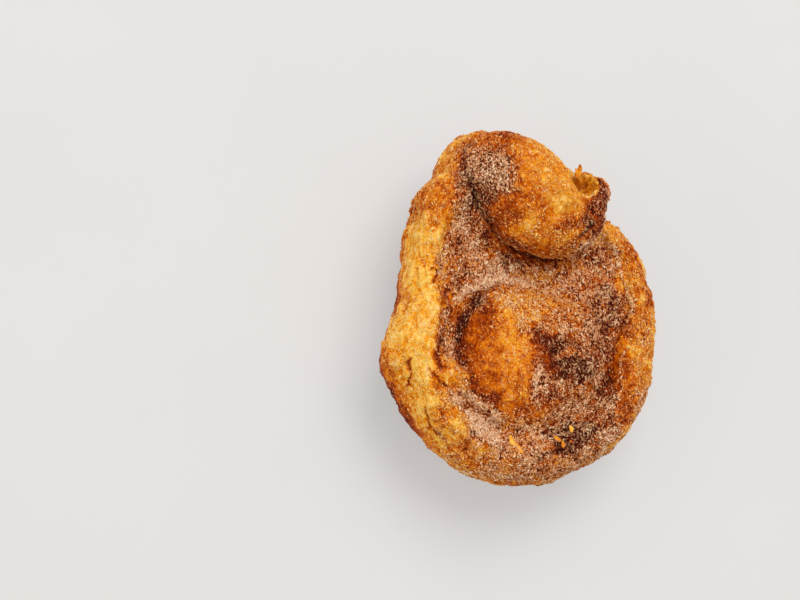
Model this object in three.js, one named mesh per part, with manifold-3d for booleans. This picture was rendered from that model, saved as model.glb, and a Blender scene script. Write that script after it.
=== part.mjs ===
// A cinnamon sugar bun: one lump of laminated dough baked in a round cup. A thick outer wrap runs round
// the cup as a rim, climbs on the left, and folds over at the far side into a fat crown whose loose end
// is torn open. The heart of the roll has puffed into a broad dome in the middle of the face.
// Millimetres. +Z is up, the flat foot is at z = 0 and centred on the origin, and the fold is at +Y.
import * as THREE from "three";
import { mergeVertices } from "three/addons/utils/BufferGeometryUtils.js";
import Module from "manifold-3d";

const wasm = await Module();
wasm.setup();

// The cup: its levels, and the outline at its widest level, an ellipse with local swellings.
const FOOT_RADIUS = 26;
const BULGE_RADIUS = 43;
const BULGE_HEIGHT = 24;
const CREST_HEIGHT = 38;
const CREST_SHARE = 0.85;
const LIP_DROP = 3;
const VALLEY_HEIGHT = 34;
const OUTLINE_HALF_WIDTH = 43.2;
const OUTLINE_HALF_LENGTH = 47;

// Where the foot has turned up into the wall, and how full the wall and the shoulder of the rim are.
const FOOT_TURN = { out: 6, up: 2 };
const WALL_FULLNESS = { radius: 0.91, height: 0.48 };
const SHOULDER = { out: 1.2, below: 4 };

// Swellings round the cup: where (degrees from +X, seen from above), how wide (degrees), how much. They
// swell the outline (mm), lift the crest of the rim (mm), and move the crest in or out (share of radius).
const OUTLINE_SWELLINGS = [
  { at: 36, wide: 18, by: 3.2 },
  { at: 92, wide: 26, by: 7.5 },
  { at: 103, wide: 12, by: 11.5 },
  { at: 128, wide: 13, by: 5 },
  { at: 162, wide: 15, by: -4.8 },
  { at: 192, wide: 8, by: 2 },
  { at: 203, wide: 7, by: -1 },
  { at: 248, wide: 10, by: 2 },
  { at: 285, wide: 16, by: -1.8 },
];
const CREST_SWELLINGS = [
  { at: 112, wide: 24, by: 9 },
  { at: 185, wide: 40, by: 2.5 },
  { at: 235, wide: 24, by: -1 },
];
const ROLL_SWELLINGS = [
  { at: 200, wide: 52, by: -0.13 },
  { at: 346, wide: 22, by: -0.15 },
];

// Swelling and unevenness fade out between these shares of the radius, so the middle stays smooth, and
// the crest is lifted only above this share of the valley's height.
const MIDDLE_SHARE = 0.15;
const RIMWARD_SHARE = 0.75;
const LIFT_FROM = 0.6;

// The rounded lumps on the cup: centre, half sizes, turn about Z (degrees), and how square they are, as the
// power of their superellipsoid (2 is a plain ellipsoid). The hollow is torn out of the fold's loose end.
const HEART = { centre: [0.5, -9, 26.5], half: [26.4, 24.8, 16.8], turn: 0, power: 2.15 };
const FOLD = { centre: [0.9, 40.1, 41], half: [23.6, 14.6, 14.5], turn: -40, power: 2.15 };
const FOLD_TAIL = { centre: [18.2, 36.8, 41], half: [11.6, 7.4, 11], turn: 64, power: 2.3 };
const LEDGE = { centre: [-24.6, -14.8, 35], half: [8.4, 5, 3.6], turn: -16, power: 2 };
const TORN_HOLLOW = { centre: [17.6, 43, 50], half: [4.2, 6, 9], turn: 14, power: 2 };

// Mesh fineness, and how close two points are to be one (mm).
const CUP_SEGMENTS = 90;
const PROFILE_STEPS = 38;
const FOOT_RINGS = [0, 0.5, 0.99];
const LUMP_SEGMENTS = 36;
const HOLLOW_SEGMENTS = 20;
const MERGE_DISTANCE = 1e-3;

// Unevenness: crossing waves, as wave vectors (radians per millimetre), a phase and a height (mm). It
// fades out towards the flat foot, below this height.
const WAVES = [
  { wave: [0.13, 0.05, 0.09], phase: 0.4, height: 0.5 },
  { wave: [-0.07, 0.16, 0.05], phase: 2.1, height: 0.45 },
  { wave: [0.21, -0.13, 0.17], phase: 4.4, height: 0.3 },
  { wave: [-0.19, -0.24, 0.12], phase: 1.2, height: 0.25 },
];
const FOOT_CLEAR_HEIGHT = 7;
const UPWARD_UNEVENNESS = 0.5;

const radians = THREE.MathUtils.degToRad;
const smooth = THREE.MathUtils.smoothstep;

// A bell-shaped swelling round the cup, summed over a list of them.
function swelling(list, degrees) {
  let total = 0;
  for (const { at, wide, by } of list) {
    const apart = THREE.MathUtils.euclideanModulo(degrees - at + 180, 360) - 180;
    total += by * Math.exp(-((apart / wide) ** 2));
  }
  return total;
}

// The widest outline's radius in a direction: the ellipse, swollen.
function outlineRadius(degrees) {
  const cos = Math.cos(radians(degrees));
  const sin = Math.sin(radians(degrees));
  const ellipse = 1 / Math.hypot(cos / OUTLINE_HALF_WIDTH, sin / OUTLINE_HALF_LENGTH);
  return ellipse + swelling(OUTLINE_SWELLINGS, degrees);
}

// The dough's unevenness at a point: the sum of the waves.
function unevenness(point) {
  let total = 0;
  for (const { wave, phase, height } of WAVES) {
    total += height * Math.sin(wave[0] * point.x + wave[1] * point.y + wave[2] * point.z + phase);
  }
  return total * smooth(point.z, 0, FOOT_CLEAR_HEIGHT);
}

// The round cup before its outline is applied: foot, wall, bulge, shoulder, crest of the rim, lip, valley.
function cupProfile() {
  const crest = CREST_SHARE * BULGE_RADIUS;
  const side = new THREE.SplineCurve([
    new THREE.Vector2(FOOT_RADIUS, 0),
    new THREE.Vector2(FOOT_RADIUS + FOOT_TURN.out, FOOT_TURN.up),
    new THREE.Vector2(WALL_FULLNESS.radius * BULGE_RADIUS, WALL_FULLNESS.height * BULGE_HEIGHT),
    new THREE.Vector2(BULGE_RADIUS, BULGE_HEIGHT),
    new THREE.Vector2((BULGE_RADIUS + crest) / 2 + SHOULDER.out, CREST_HEIGHT - SHOULDER.below),
    new THREE.Vector2(crest, CREST_HEIGHT),
    new THREE.Vector2(0.94 * crest, CREST_HEIGHT - 0.4 * LIP_DROP),
    new THREE.Vector2(0.89 * crest, CREST_HEIGHT - LIP_DROP),
    new THREE.Vector2(0.6 * crest, VALLEY_HEIGHT),
    new THREE.Vector2(0.3 * crest, VALLEY_HEIGHT),
    new THREE.Vector2(0, VALLEY_HEIGHT),
  ]);
  const foot = FOOT_RINGS.map((share) => new THREE.Vector2(share * FOOT_RADIUS, 0));
  const points = side.getSpacedPoints(PROFILE_STEPS);
  points[0].y = 0;
  points.at(-1).x = 0;
  return [...foot, ...points];
}

// Runs a function over every point of a geometry, which may move it.
function eachPoint(geometry, move) {
  const position = geometry.getAttribute("position");
  const point = new THREE.Vector3();
  for (let i = 0; i < position.count; i++) {
    point.fromBufferAttribute(position, i);
    move(point);
    position.setXYZ(i, point.x, point.y, point.z);
  }
}

// Moves a point of the round cup to its place on the uneven one: the outline takes over from the round
// foot with height, and past the bulge the crest moves in or out and up or down.
function shapeCupPoint(point) {
  const angle = Math.atan2(point.y, point.x);
  const degrees = THREE.MathUtils.radToDeg(angle);
  let share = Math.hypot(point.x, point.y) / BULGE_RADIUS;
  if (point.z > BULGE_HEIGHT) {
    const crest = CREST_SHARE + swelling(ROLL_SWELLINGS, degrees);
    const outside = 1 - ((1 - share) * (1 - crest)) / (1 - CREST_SHARE);
    share = share > CREST_SHARE ? outside : (share * crest) / CREST_SHARE;
  }
  const spread = smooth(point.z, 0, BULGE_HEIGHT);
  const outline = THREE.MathUtils.lerp(BULGE_RADIUS, outlineRadius(degrees), spread);
  const rimward = smooth(share, MIDDLE_SHARE, RIMWARD_SHARE);
  const lift = rimward * smooth(point.z, LIFT_FROM * VALLEY_HEIGHT, CREST_HEIGHT);
  const height = point.z + lift * swelling(CREST_SWELLINGS, degrees);
  point.set(Math.cos(angle) * share * outline, Math.sin(angle) * share * outline, height);
  const push = unevenness(point);
  point.x += push * Math.cos(angle) * spread * rimward;
  point.y += push * Math.sin(angle) * spread * rimward;
  point.z += push * UPWARD_UNEVENNESS;
}

function cup() {
  const turned = new THREE.LatheGeometry(cupProfile(), CUP_SEGMENTS);
  turned.rotateX(Math.PI / 2);
  eachPoint(turned, shapeCupPoint);
  return turned;
}

// A rounded lump: a ball squared off by its power, stretched to its half sizes, turned, and made uneven
// along its own radius.
function lump({ centre, half, turn, power }, segments) {
  const ball = new THREE.SphereGeometry(1, segments, Math.round(0.6 * segments));
  ball.rotateX(Math.PI / 2);
  eachPoint(ball, (point) => {
    const size = Math.abs(point.x) ** power + Math.abs(point.y) ** power + Math.abs(point.z) ** power;
    point.divideScalar(size ** (1 / power));
  });
  ball.scale(...half);
  ball.rotateZ(radians(turn));
  ball.translate(...centre);
  const middle = new THREE.Vector3(...centre);
  const out = new THREE.Vector3();
  eachPoint(ball, (point) => {
    out.subVectors(point, middle).normalize();
    point.addScaledVector(out, unevenness(point));
  });
  return ball;
}

// three.js geometry to a closed solid and back.
function solid(geometry) {
  const bare = geometry.clone();
  bare.deleteAttribute("normal");
  bare.deleteAttribute("uv");
  const merged = mergeVertices(bare, MERGE_DISTANCE);
  return new wasm.Manifold(new wasm.Mesh({
    numProp: 3,
    vertProperties: merged.getAttribute("position").array,
    triVerts: new Uint32Array(merged.index.array),
  }));
}

function geometryOf(made) {
  const { vertProperties, triVerts } = made.getMesh();
  const geometry = new THREE.BufferGeometry();
  geometry.setAttribute("position", new THREE.BufferAttribute(vertProperties, 3));
  geometry.setIndex(new THREE.BufferAttribute(triVerts, 1));
  geometry.computeVertexNormals();
  return geometry;
}

let dough = solid(cup());
for (const part of [HEART, FOLD, FOLD_TAIL, LEDGE]) {
  dough = dough.add(solid(lump(part, LUMP_SEGMENTS)));
}
dough = dough.subtract(solid(lump(TORN_HOLLOW, HOLLOW_SEGMENTS)));

const crust = new THREE.MeshStandardMaterial({ color: 0xc07a35, roughness: 0.6, metalness: 0 });
const bun = new THREE.Mesh(geometryOf(dough), crust);
bun.name = "bun";

const group = new THREE.Group();
group.add(bun);

export default group;
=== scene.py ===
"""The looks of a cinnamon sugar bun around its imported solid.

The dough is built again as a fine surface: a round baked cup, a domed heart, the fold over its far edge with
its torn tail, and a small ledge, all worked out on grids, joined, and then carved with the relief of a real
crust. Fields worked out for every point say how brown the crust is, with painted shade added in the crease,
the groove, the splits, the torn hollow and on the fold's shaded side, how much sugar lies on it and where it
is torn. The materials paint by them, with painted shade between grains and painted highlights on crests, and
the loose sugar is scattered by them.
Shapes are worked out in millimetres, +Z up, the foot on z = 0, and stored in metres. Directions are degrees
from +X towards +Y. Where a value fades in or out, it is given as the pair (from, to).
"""
import math

import bpy
import numpy as np
from mathutils import Matrix, Vector


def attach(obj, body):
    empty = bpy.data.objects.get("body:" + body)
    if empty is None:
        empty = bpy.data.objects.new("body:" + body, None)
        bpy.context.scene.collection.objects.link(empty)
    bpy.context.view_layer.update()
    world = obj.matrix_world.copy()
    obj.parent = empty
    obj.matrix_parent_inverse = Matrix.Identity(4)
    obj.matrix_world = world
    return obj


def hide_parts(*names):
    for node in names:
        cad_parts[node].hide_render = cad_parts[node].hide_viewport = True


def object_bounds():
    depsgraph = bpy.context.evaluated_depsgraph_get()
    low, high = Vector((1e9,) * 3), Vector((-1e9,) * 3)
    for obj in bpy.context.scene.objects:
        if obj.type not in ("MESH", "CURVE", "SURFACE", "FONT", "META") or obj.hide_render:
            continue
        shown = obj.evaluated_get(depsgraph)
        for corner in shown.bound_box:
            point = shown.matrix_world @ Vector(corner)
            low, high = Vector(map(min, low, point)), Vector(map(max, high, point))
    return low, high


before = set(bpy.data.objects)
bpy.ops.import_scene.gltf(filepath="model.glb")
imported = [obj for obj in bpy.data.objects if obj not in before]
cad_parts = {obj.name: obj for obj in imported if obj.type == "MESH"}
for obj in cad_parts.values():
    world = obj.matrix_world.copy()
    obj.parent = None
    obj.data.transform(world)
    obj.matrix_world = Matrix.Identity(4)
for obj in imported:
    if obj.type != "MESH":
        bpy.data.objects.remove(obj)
CAD_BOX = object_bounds()

MM = 0.001
SEED = 41
NODE = "bun"
BODY = "root"

# ------------------------------------------------------------------------------------------------
# Shape of the dough, in millimetres and degrees
# ------------------------------------------------------------------------------------------------
FOOT_RADIUS = 26.0
BULGE_RADIUS = 43.0
BULGE_HEIGHT = 24.0
CREST_HEIGHT = 38.0
CREST_SHARE = 0.85
LIP_SHARE = 0.92
LIP_DROP = 3.0
VALLEY_HEIGHT = 34.0
OUTLINE_HALF_WIDTH = 43.2
OUTLINE_HALF_LENGTH = 47.0

# The side of the cup: how far out and up it turns from the foot's edge, the shares of the bulge's radius and
# height that it passes, and how far its shoulder stands out and stays below the crest.
FOOT_TURN = (6.0, 2.0)
WALL_FULLNESS = (0.91, 0.48)
SHOULDER = (1.2, 4.0)
# The lip inside the crest, as shares of the crest's radius and of the lip's drop, then the valley's shares.
LIP_KNOTS = [(0.94, 0.4), (0.89, 1.0)]
VALLEY_SHARES = (0.6, 0.3, 0.0)

# Swellings round the cup: at which direction, how wide, how much.
OUTLINE_SWELLINGS = [
    (36, 18, 3.2),
    (92, 26, 7.5),
    (103, 12, 11.5),
    (128, 13, 5.0),
    (162, 15, -4.8),
    (192, 8, 2.0),
    (203, 7, -1.0),
    (248, 10, 2.0),
    (285, 16, -1.8),
]
CREST_SWELLINGS = [
    (112, 24, 9.0),
    (185, 40, 2.5),
    (235, 24, -1.0),
]
# The same for where the crest is, and for where the lip ends and the valley begins, as shares of the radius.
ROLL_SWELLINGS = [
    (200, 52, -0.13),
    (346, 22, -0.15),
]
LIP_SHIFTS = [
    (178, 14, 0.03),
]
# The shares of the radius between which the outer shape takes over, and from which height it lifts the crest,
# as a share of the valley's.
RIMWARD_SHARES = (0.15, 0.75)
LIFT_FROM = 0.6

# Rounded lumps: centre, half sizes, turn about Z, squareness. The hollow is cut out, the others are added.
LUMPS = {
    "heart": ((0.5, -9.0, 26.5), (26.4, 24.8, 16.8), 0.0, 2.15),
    "fold": ((0.9, 40.1, 41.0), (23.6, 14.6, 14.5), -40.0, 2.15),
    "fold_tail": ((18.2, 36.8, 41.0), (11.6, 7.4, 11.0), 64.0, 2.3),
    "ledge": ((-24.6, -14.8, 35.0), (8.4, 5.0, 3.6), -16.0, 2.0),
}
TORN_HOLLOW = ((16.6, 44.4, 51.4), (4.8, 6.4, 6.2), 8.0, 2.0)

# Broad unevenness: wave vector in radians per millimetre, phase, height. It starts above the foot, and a share
# of it also pushes the cup up.
WAVES = [
    ((0.13, 0.05, 0.09), 0.4, 0.5),
    ((-0.07, 0.16, 0.05), 2.1, 0.45),
    ((0.21, -0.13, 0.17), 4.4, 0.3),
    ((-0.19, -0.24, 0.12), 1.2, 0.25),
]
FOOT_CLEAR_HEIGHT = 7.0
UPWARD_UNEVENNESS = 0.5

# Fineness of the grids, and the cell that the joined surface is rebuilt with. The foot's rings go from near
# its middle to just inside its edge, as shares of its radius.
CUP_COLUMNS = 300
CUP_STATIONS = 170
FOOT_RINGS = 12
FOOT_RING_SHARES = (0.06, 0.98)
PATH_STEPS = 60
LUMP_ROWS = 90
LUMP_COLUMNS = 150
SKIN_CELL = 0.58


def smoothstep(low, high, value):
    """0 below low, 1 above high, and the cubic 3t^2 - 2t^3 between."""
    t = np.clip((value - low) / (high - low), 0.0, 1.0)
    return t * t * (3.0 - 2.0 * t)


def mix(a, b, share):
    """a where share is 0, b where it is 1, and a straight line between."""
    return a + (b - a) * share


def bell(distance, width, middle=0.0):
    """exp(-((distance - middle) / width)^2): 1 in the middle, fading out over the width."""
    return np.exp(-(((distance - middle) / width) ** 2))


def swelling(bumps, degrees):
    """Sum of bells round the cup: how much * bell(angle between / how wide), the angle wrapped."""
    total = np.zeros_like(degrees)
    for at, wide, by in bumps:
        apart = (degrees - at + 180.0) % 360.0 - 180.0
        total += by * bell(apart, wide)
    return total


def outline_radius(degrees):
    """The ellipse's radius 1 / |(cos / width, sin / length)| in each direction, swollen."""
    angle = np.radians(degrees)
    ellipse = 1.0 / np.hypot(np.cos(angle) / OUTLINE_HALF_WIDTH, np.sin(angle) / OUTLINE_HALF_LENGTH)
    return ellipse + swelling(OUTLINE_SWELLINGS, degrees)


def unevenness(points):
    """Sum of plane waves height * sin(wave . point + phase), faded to nothing at the foot."""
    total = np.zeros(points.shape[:-1])
    for wave, phase, height in WAVES:
        total += height * np.sin(points @ np.array(wave) + phase)
    return total * smoothstep(0.0, FOOT_CLEAR_HEIGHT, points[..., 2])


def smooth_path(knots, count):
    """The uniform Catmull-Rom curve through the knots, resampled to count points evenly along it."""
    knots = np.asarray(knots, float)
    padded = np.vstack([2 * knots[0] - knots[1], knots, 2 * knots[-1] - knots[-2]])
    place = np.linspace(0.0, len(knots) - 1.0, PATH_STEPS * len(knots))
    span = np.minimum(place.astype(int), len(knots) - 2)
    t = (place - span)[:, None]
    a, b, c, d = (padded[span + k] for k in range(4))
    curve = b + 0.5 * t * (c - a + t * (2 * a - 5 * b + 4 * c - d + t * (3 * (b - c) + d - a)))
    travelled = np.concatenate([[0.0], np.cumsum(np.linalg.norm(np.diff(curve, axis=0), axis=1))])
    even = np.linspace(0.0, travelled[-1], count)
    return np.stack([np.interp(even, travelled, axis) for axis in curve.T], -1)


def cup_profile():
    """Radius and height: out along the foot, up the wall, over the rim and its lip, and in to the middle."""
    crest = CREST_SHARE * BULGE_RADIUS
    side = smooth_path([
        (FOOT_RADIUS, 0.0),
        (FOOT_RADIUS + FOOT_TURN[0], FOOT_TURN[1]),
        (WALL_FULLNESS[0] * BULGE_RADIUS, WALL_FULLNESS[1] * BULGE_HEIGHT),
        (BULGE_RADIUS, BULGE_HEIGHT),
        ((BULGE_RADIUS + crest) / 2 + SHOULDER[0], CREST_HEIGHT - SHOULDER[1]),
        (crest, CREST_HEIGHT),
        *((share * crest, CREST_HEIGHT - drop * LIP_DROP) for share, drop in LIP_KNOTS),
        *((share * crest, VALLEY_HEIGHT) for share in VALLEY_SHARES),
    ], CUP_STATIONS)[:-1]
    side[:, 1] = np.maximum(side[:, 1], 0.0)
    foot = np.stack([np.linspace(*FOOT_RING_SHARES, FOOT_RINGS) * FOOT_RADIUS, np.zeros(FOOT_RINGS)], -1)
    return np.vstack([foot, side])


def shape_cup(points):
    """Moves the round cup's points onto the uneven one: the outline takes over from the round foot with
    height, past the bulge the crest moves in or out by share of the radius and up or down, and the
    unevenness pushes all of it out and up."""
    angle = np.arctan2(points[..., 1], points[..., 0])
    degrees = np.degrees(angle)
    height = points[..., 2]
    share = np.hypot(points[..., 0], points[..., 1]) / BULGE_RADIUS
    crest = CREST_SHARE + swelling(ROLL_SWELLINGS, degrees)
    outside = 1.0 - (1.0 - share) * (1.0 - crest) / (1.0 - CREST_SHARE)
    moved = np.where(share > CREST_SHARE, outside, share * crest / CREST_SHARE)
    share = np.where(height > BULGE_HEIGHT, moved, share)
    spread = smoothstep(0.0, BULGE_HEIGHT, height)
    outline = mix(BULGE_RADIUS, outline_radius(degrees), spread)
    rimward = smoothstep(*RIMWARD_SHARES, share)
    lift = rimward * smoothstep(LIFT_FROM * VALLEY_HEIGHT, CREST_HEIGHT, height)
    height = height + lift * swelling(CREST_SWELLINGS, degrees)
    out = np.stack([np.cos(angle), np.sin(angle), np.zeros_like(angle)], -1)
    placed = out * (share * outline)[..., None]
    placed[..., 2] = height
    push = unevenness(placed)
    placed += out * (push * spread * rimward)[..., None]
    placed[..., 2] += push * UPWARD_UNEVENNESS
    return placed


def cup_rings():
    """The profile turned round the Z axis: ring i is station i of the profile, columns go round."""
    radius, height = cup_profile().T
    around = np.linspace(0.0, 2.0 * np.pi, CUP_COLUMNS, endpoint=False)
    rings = np.stack([np.outer(radius, np.cos(around)), np.outer(radius, np.sin(around)),
                      np.outer(height, np.ones_like(around))], -1)
    return shape_cup(rings)


def turning(degrees):
    """The matrix that turns about Z."""
    angle = math.radians(degrees)
    cos, sin = math.cos(angle), math.sin(angle)
    return np.array([[cos, -sin, 0.0], [sin, cos, 0.0], [0.0, 0.0, 1.0]])


def lump_rings(centre, half, turn, power):
    """A ball whose directions are divided by their power-norm, stretched to the half sizes, turned about Z,
    moved to the centre and made uneven along its own radius. Rings go from the lowest to the highest."""
    down = np.linspace(0.0, np.pi, LUMP_ROWS + 2)[1:-1, None]
    around = np.linspace(0.0, 2.0 * np.pi, LUMP_COLUMNS, endpoint=False)[None, :]
    ball = np.stack([np.sin(down) * np.cos(around), np.sin(down) * np.sin(around),
                     -np.cos(down) * np.ones_like(around)], -1)
    ball /= ((np.abs(ball) ** power).sum(-1) ** (1.0 / power))[..., None]
    placed = (ball * np.array(half)) @ turning(turn).T + np.array(centre)
    out = placed - np.array(centre)
    out /= np.linalg.norm(out, axis=-1, keepdims=True)
    return placed + out * unevenness(placed)[..., None]


def lump_depth(points, lump):
    """How far outside the lump's plain surface each point is, in millimetres: (f - 1) / f times its
    distance from the centre, with f the power-norm of the point in the lump's own half sizes."""
    centre, half, turn, power = lump
    local = (points - np.array(centre)) @ turning(turn)
    norm = (np.abs(local / np.array(half)) ** power).sum(-1) ** (1.0 / power)
    return (norm - 1.0) / np.maximum(norm, 1e-6) * np.linalg.norm(local, axis=-1)


# ------------------------------------------------------------------------------------------------
# Meshes
# ------------------------------------------------------------------------------------------------
def make_object(name, vertices, *face_sets):
    """A mesh object from arrays: vertices in millimetres, and sets of faces that have equal corner counts."""
    corners = np.concatenate([faces.ravel() for faces in face_sets])
    sizes = np.concatenate([np.full(len(faces), faces.shape[1]) for faces in face_sets])
    starts = np.concatenate([[0], np.cumsum(sizes)[:-1]])
    mesh = bpy.data.meshes.new(name)
    mesh.vertices.add(len(vertices))
    mesh.vertices.foreach_set("co", (vertices * MM).astype(np.float32).ravel())
    mesh.loops.add(len(corners))
    mesh.loops.foreach_set("vertex_index", corners.astype(np.int32))
    mesh.polygons.add(len(sizes))
    mesh.polygons.foreach_set("loop_start", starts.astype(np.int32))
    mesh.update(calc_edges=True)
    mesh.validate()
    return linked(name, mesh)


def linked(name, data):
    """An object of that name and data, linked to the scene."""
    made = bpy.data.objects.new(name, data)
    bpy.context.scene.collection.objects.link(made)
    return made


def closed_shell(name, *shells):
    """One mesh of closed shells, each given as rings of points: quads between neighbouring rings, and fans
    that close its first and its last ring at their means."""
    vertices, quads, fans = [], [], []
    start = 0
    for rings in shells:
        rows, columns = rings.shape[:2]
        index = start + np.arange(rows * columns).reshape(rows, columns)
        beside = np.roll(index, -1, axis=1)
        quads.append(np.stack([index[:-1], beside[:-1], beside[1:], index[1:]], -1).reshape(-1, 4))
        first = np.full(columns, start + rows * columns)
        fans.append(np.stack([first, beside[0], index[0]], -1))
        fans.append(np.stack([first + 1, index[-1], beside[-1]], -1))
        vertices += [rings.reshape(-1, 3), rings[0].mean(0)[None], rings[-1].mean(0)[None]]
        start += rows * columns + 2
    return make_object(name, np.vstack(vertices), np.vstack(quads), np.vstack(fans))


def points_of(mesh):
    """The mesh's points in millimetres."""
    flat = np.empty(len(mesh.vertices) * 3, np.float32)
    mesh.vertices.foreach_get("co", flat)
    return flat.reshape(-1, 3).astype(float) / MM


def edges_of(mesh):
    """The two point numbers of each edge."""
    flat = np.empty(len(mesh.edges) * 2, np.int32)
    mesh.edges.foreach_get("vertices", flat)
    return flat.reshape(-1, 2)


def normals_of(mesh):
    """The normal at each point."""
    flat = np.empty(len(mesh.vertices) * 3, np.float32)
    mesh.vertex_normals.foreach_get("vector", flat)
    return flat.reshape(-1, 3).astype(float)


def set_points(mesh, points):
    """Moves the mesh's points to these, in millimetres."""
    mesh.vertices.foreach_set("co", (points * MM).astype(np.float32).ravel())
    mesh.update()


def shade_smooth(mesh):
    """Shades all faces smooth."""
    mesh.polygons.foreach_set("use_smooth", np.ones(len(mesh.polygons), bool))


def relax(values, edges, rounds, strength):
    """Moves each value towards the mean of its neighbours along the edges, again and again."""
    count = len(values)
    neighbours = np.bincount(edges.ravel(), minlength=count)[:, None]
    flat = values.reshape(count, -1)
    strength = np.broadcast_to(np.asarray(strength, float).reshape(-1, 1), (count, 1))
    for _ in range(rounds):
        total = np.stack([
            np.bincount(edges[:, 0], column[edges[:, 1]], count)
            + np.bincount(edges[:, 1], column[edges[:, 0]], count)
            for column in flat.T], -1)
        flat = flat + strength * (total / neighbours - flat)
    return flat.reshape(values.shape)


def store(mesh, name, values):
    """Keeps a value for every point, as an attribute that a material reads."""
    kind = "FLOAT" if values.ndim == 1 else "FLOAT_VECTOR"
    layer = mesh.attributes.new(name, kind, "POINT")
    layer.data.foreach_set("value" if values.ndim == 1 else "vector", values.astype(np.float32).ravel())


# ------------------------------------------------------------------------------------------------
# Random fields
# ------------------------------------------------------------------------------------------------
# What mixes the bits of a cell's three numbers and the seed, the largest number left of them, and how many
# cells a seed moves the pattern.
CELL_PRIMES = (73856093, 19349663, 83492791)
SEED_PRIME = 2654435761
MIXING_PRIME = 2246822519
MIXING_SHIFTS = (15, 13)
LARGEST = 0xFFFFF
SEED_SHIFT = 0.37
OCTAVE_SEEDS = 101

# Random unevenness, by what it is for: height, size, seed and octaves. Heights and sizes are in millimetres,
# but the height of the lip is a share of the radius, and that of browning and sugar a share of them.
RANDOM_FIELDS = {
    "heart_edge": (1.2, 3.0, 20, 3),
    "lip_edge": (0.035, 3.6, 19, 4),
    "torn_edge": (0.3, 1.6, 28, 2),
    "fold_side_edge": (3.0, 3.0, 27, 3),
    "browning": (1.0, 4.5, 31, 4),
    "sugar_drifts": (0.65, 4.0, 57, 3),
    "sugar_clumps": (0.4, 1.5, 58, 2),
    "loose_clumps": (1.0, 1.7, 71, 2),
    "lumps": (0.7, 8.0, 11, 3),
    "knobs": (0.6, 3.2, 18, 2),
    "wrinkles": (0.4, 2.4, 12, 3),
    "layers": (0.24, 1.4, 13, 2),
    "crinkles": (1.0, 1.9, 24, 1),
    "crumbs": (0.34, 1.15, 15, 1),
    "bubbles": (0.9, 1.7, 16, 1),
    "broken_ledge": (0.6, 2.0, 17, 2),
}
# Random sideways moves: reach, size, a seed for each axis, octaves.
BROAD_SWERVE = (2.8, 6.0, (7, 8), 2)
FINE_SWERVE = (1.6, 1.8, (9, 10), 2)
LINE_SWERVE = (0.8, 1.7, (3, 4), 1)
CRINKLE_SWERVE = (0.8, 3.0, (21, 22, 23), 1)


def lattice_value(cell, seed):
    """A repeatable random number from -1 to 1 for each whole-number cell, by mixing its bits."""
    a, b, c = (cell[:, axis] * prime for axis, prime in enumerate(CELL_PRIMES))
    mixed = a ^ b ^ c ^ (seed * SEED_PRIME)
    mixed = (mixed ^ (mixed >> MIXING_SHIFTS[0])) * MIXING_PRIME
    mixed = (mixed ^ (mixed >> MIXING_SHIFTS[1])) & LARGEST
    return mixed / (LARGEST / 2.0) - 1.0


def noise(points, size, seed):
    """Smooth random field from -1 to 1: random values at the corners of cells of that size, in between
    blended along each axis by 3t^2 - 2t^3."""
    place = points / size + SEED_SHIFT * seed
    cell = np.floor(place).astype(np.int64)
    t = place - cell
    t = t * t * (3.0 - 2.0 * t)
    total = np.zeros(len(points))
    for corner in np.ndindex(2, 2, 2):
        weight = np.prod(np.where(np.array(corner) == 1, t, 1.0 - t), axis=1)
        total += weight * lattice_value(cell + np.array(corner), seed)
    return total


def rough(points, size, seed, octaves):
    """Noise summed over octaves, each half the size and half the height of the one before."""
    total = np.zeros(len(points))
    for octave in range(octaves):
        total += noise(points, size / 2 ** octave, seed + OCTAVE_SEEDS * octave) / 2 ** octave
    return total / (2.0 - 0.5 ** (octaves - 1))


def random_field(points, name):
    """The random unevenness of that name."""
    height, size, seed, octaves = RANDOM_FIELDS[name]
    return height * rough(points, size, seed, octaves)


def swerve(points, reach, size, seeds, octaves):
    """A random move for each point: along each axis its own noise, times the reach."""
    return reach * np.stack([rough(points, size, seed, octaves) for seed in seeds], -1)


def ragged(points):
    """The points seen from above, each moved a little by noise of two sizes, so that whatever is drawn
    with them gets an uneven edge."""
    return points[:, :2] + swerve(points, *BROAD_SWERVE) + swerve(points, *FINE_SWERVE)


def patch(seen, at, half, turn=0.0, soft=0.5):
    """1 inside an ellipse seen from above and 0 outside, fading over a soft share of its size."""
    local = (seen - np.array(at)) @ turning(turn)[:2, :2]
    reach = np.hypot(local[:, 0] / half[0], local[:, 1] / half[1])
    return 1.0 - smoothstep(1.0 - soft, 1.0 + soft, reach)


def painted(seen, value, patches):
    """Mixes the value towards each patch's own value inside that patch, in the order of the list."""
    for at, half, turn, target in patches:
        value = mix(value, target, patch(seen, at, half, turn))
    return value


def weighted(at, shares):
    """The sum of the fields that shares names, each times its share."""
    return sum(share * at[name] for name, share in shares.items())


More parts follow.
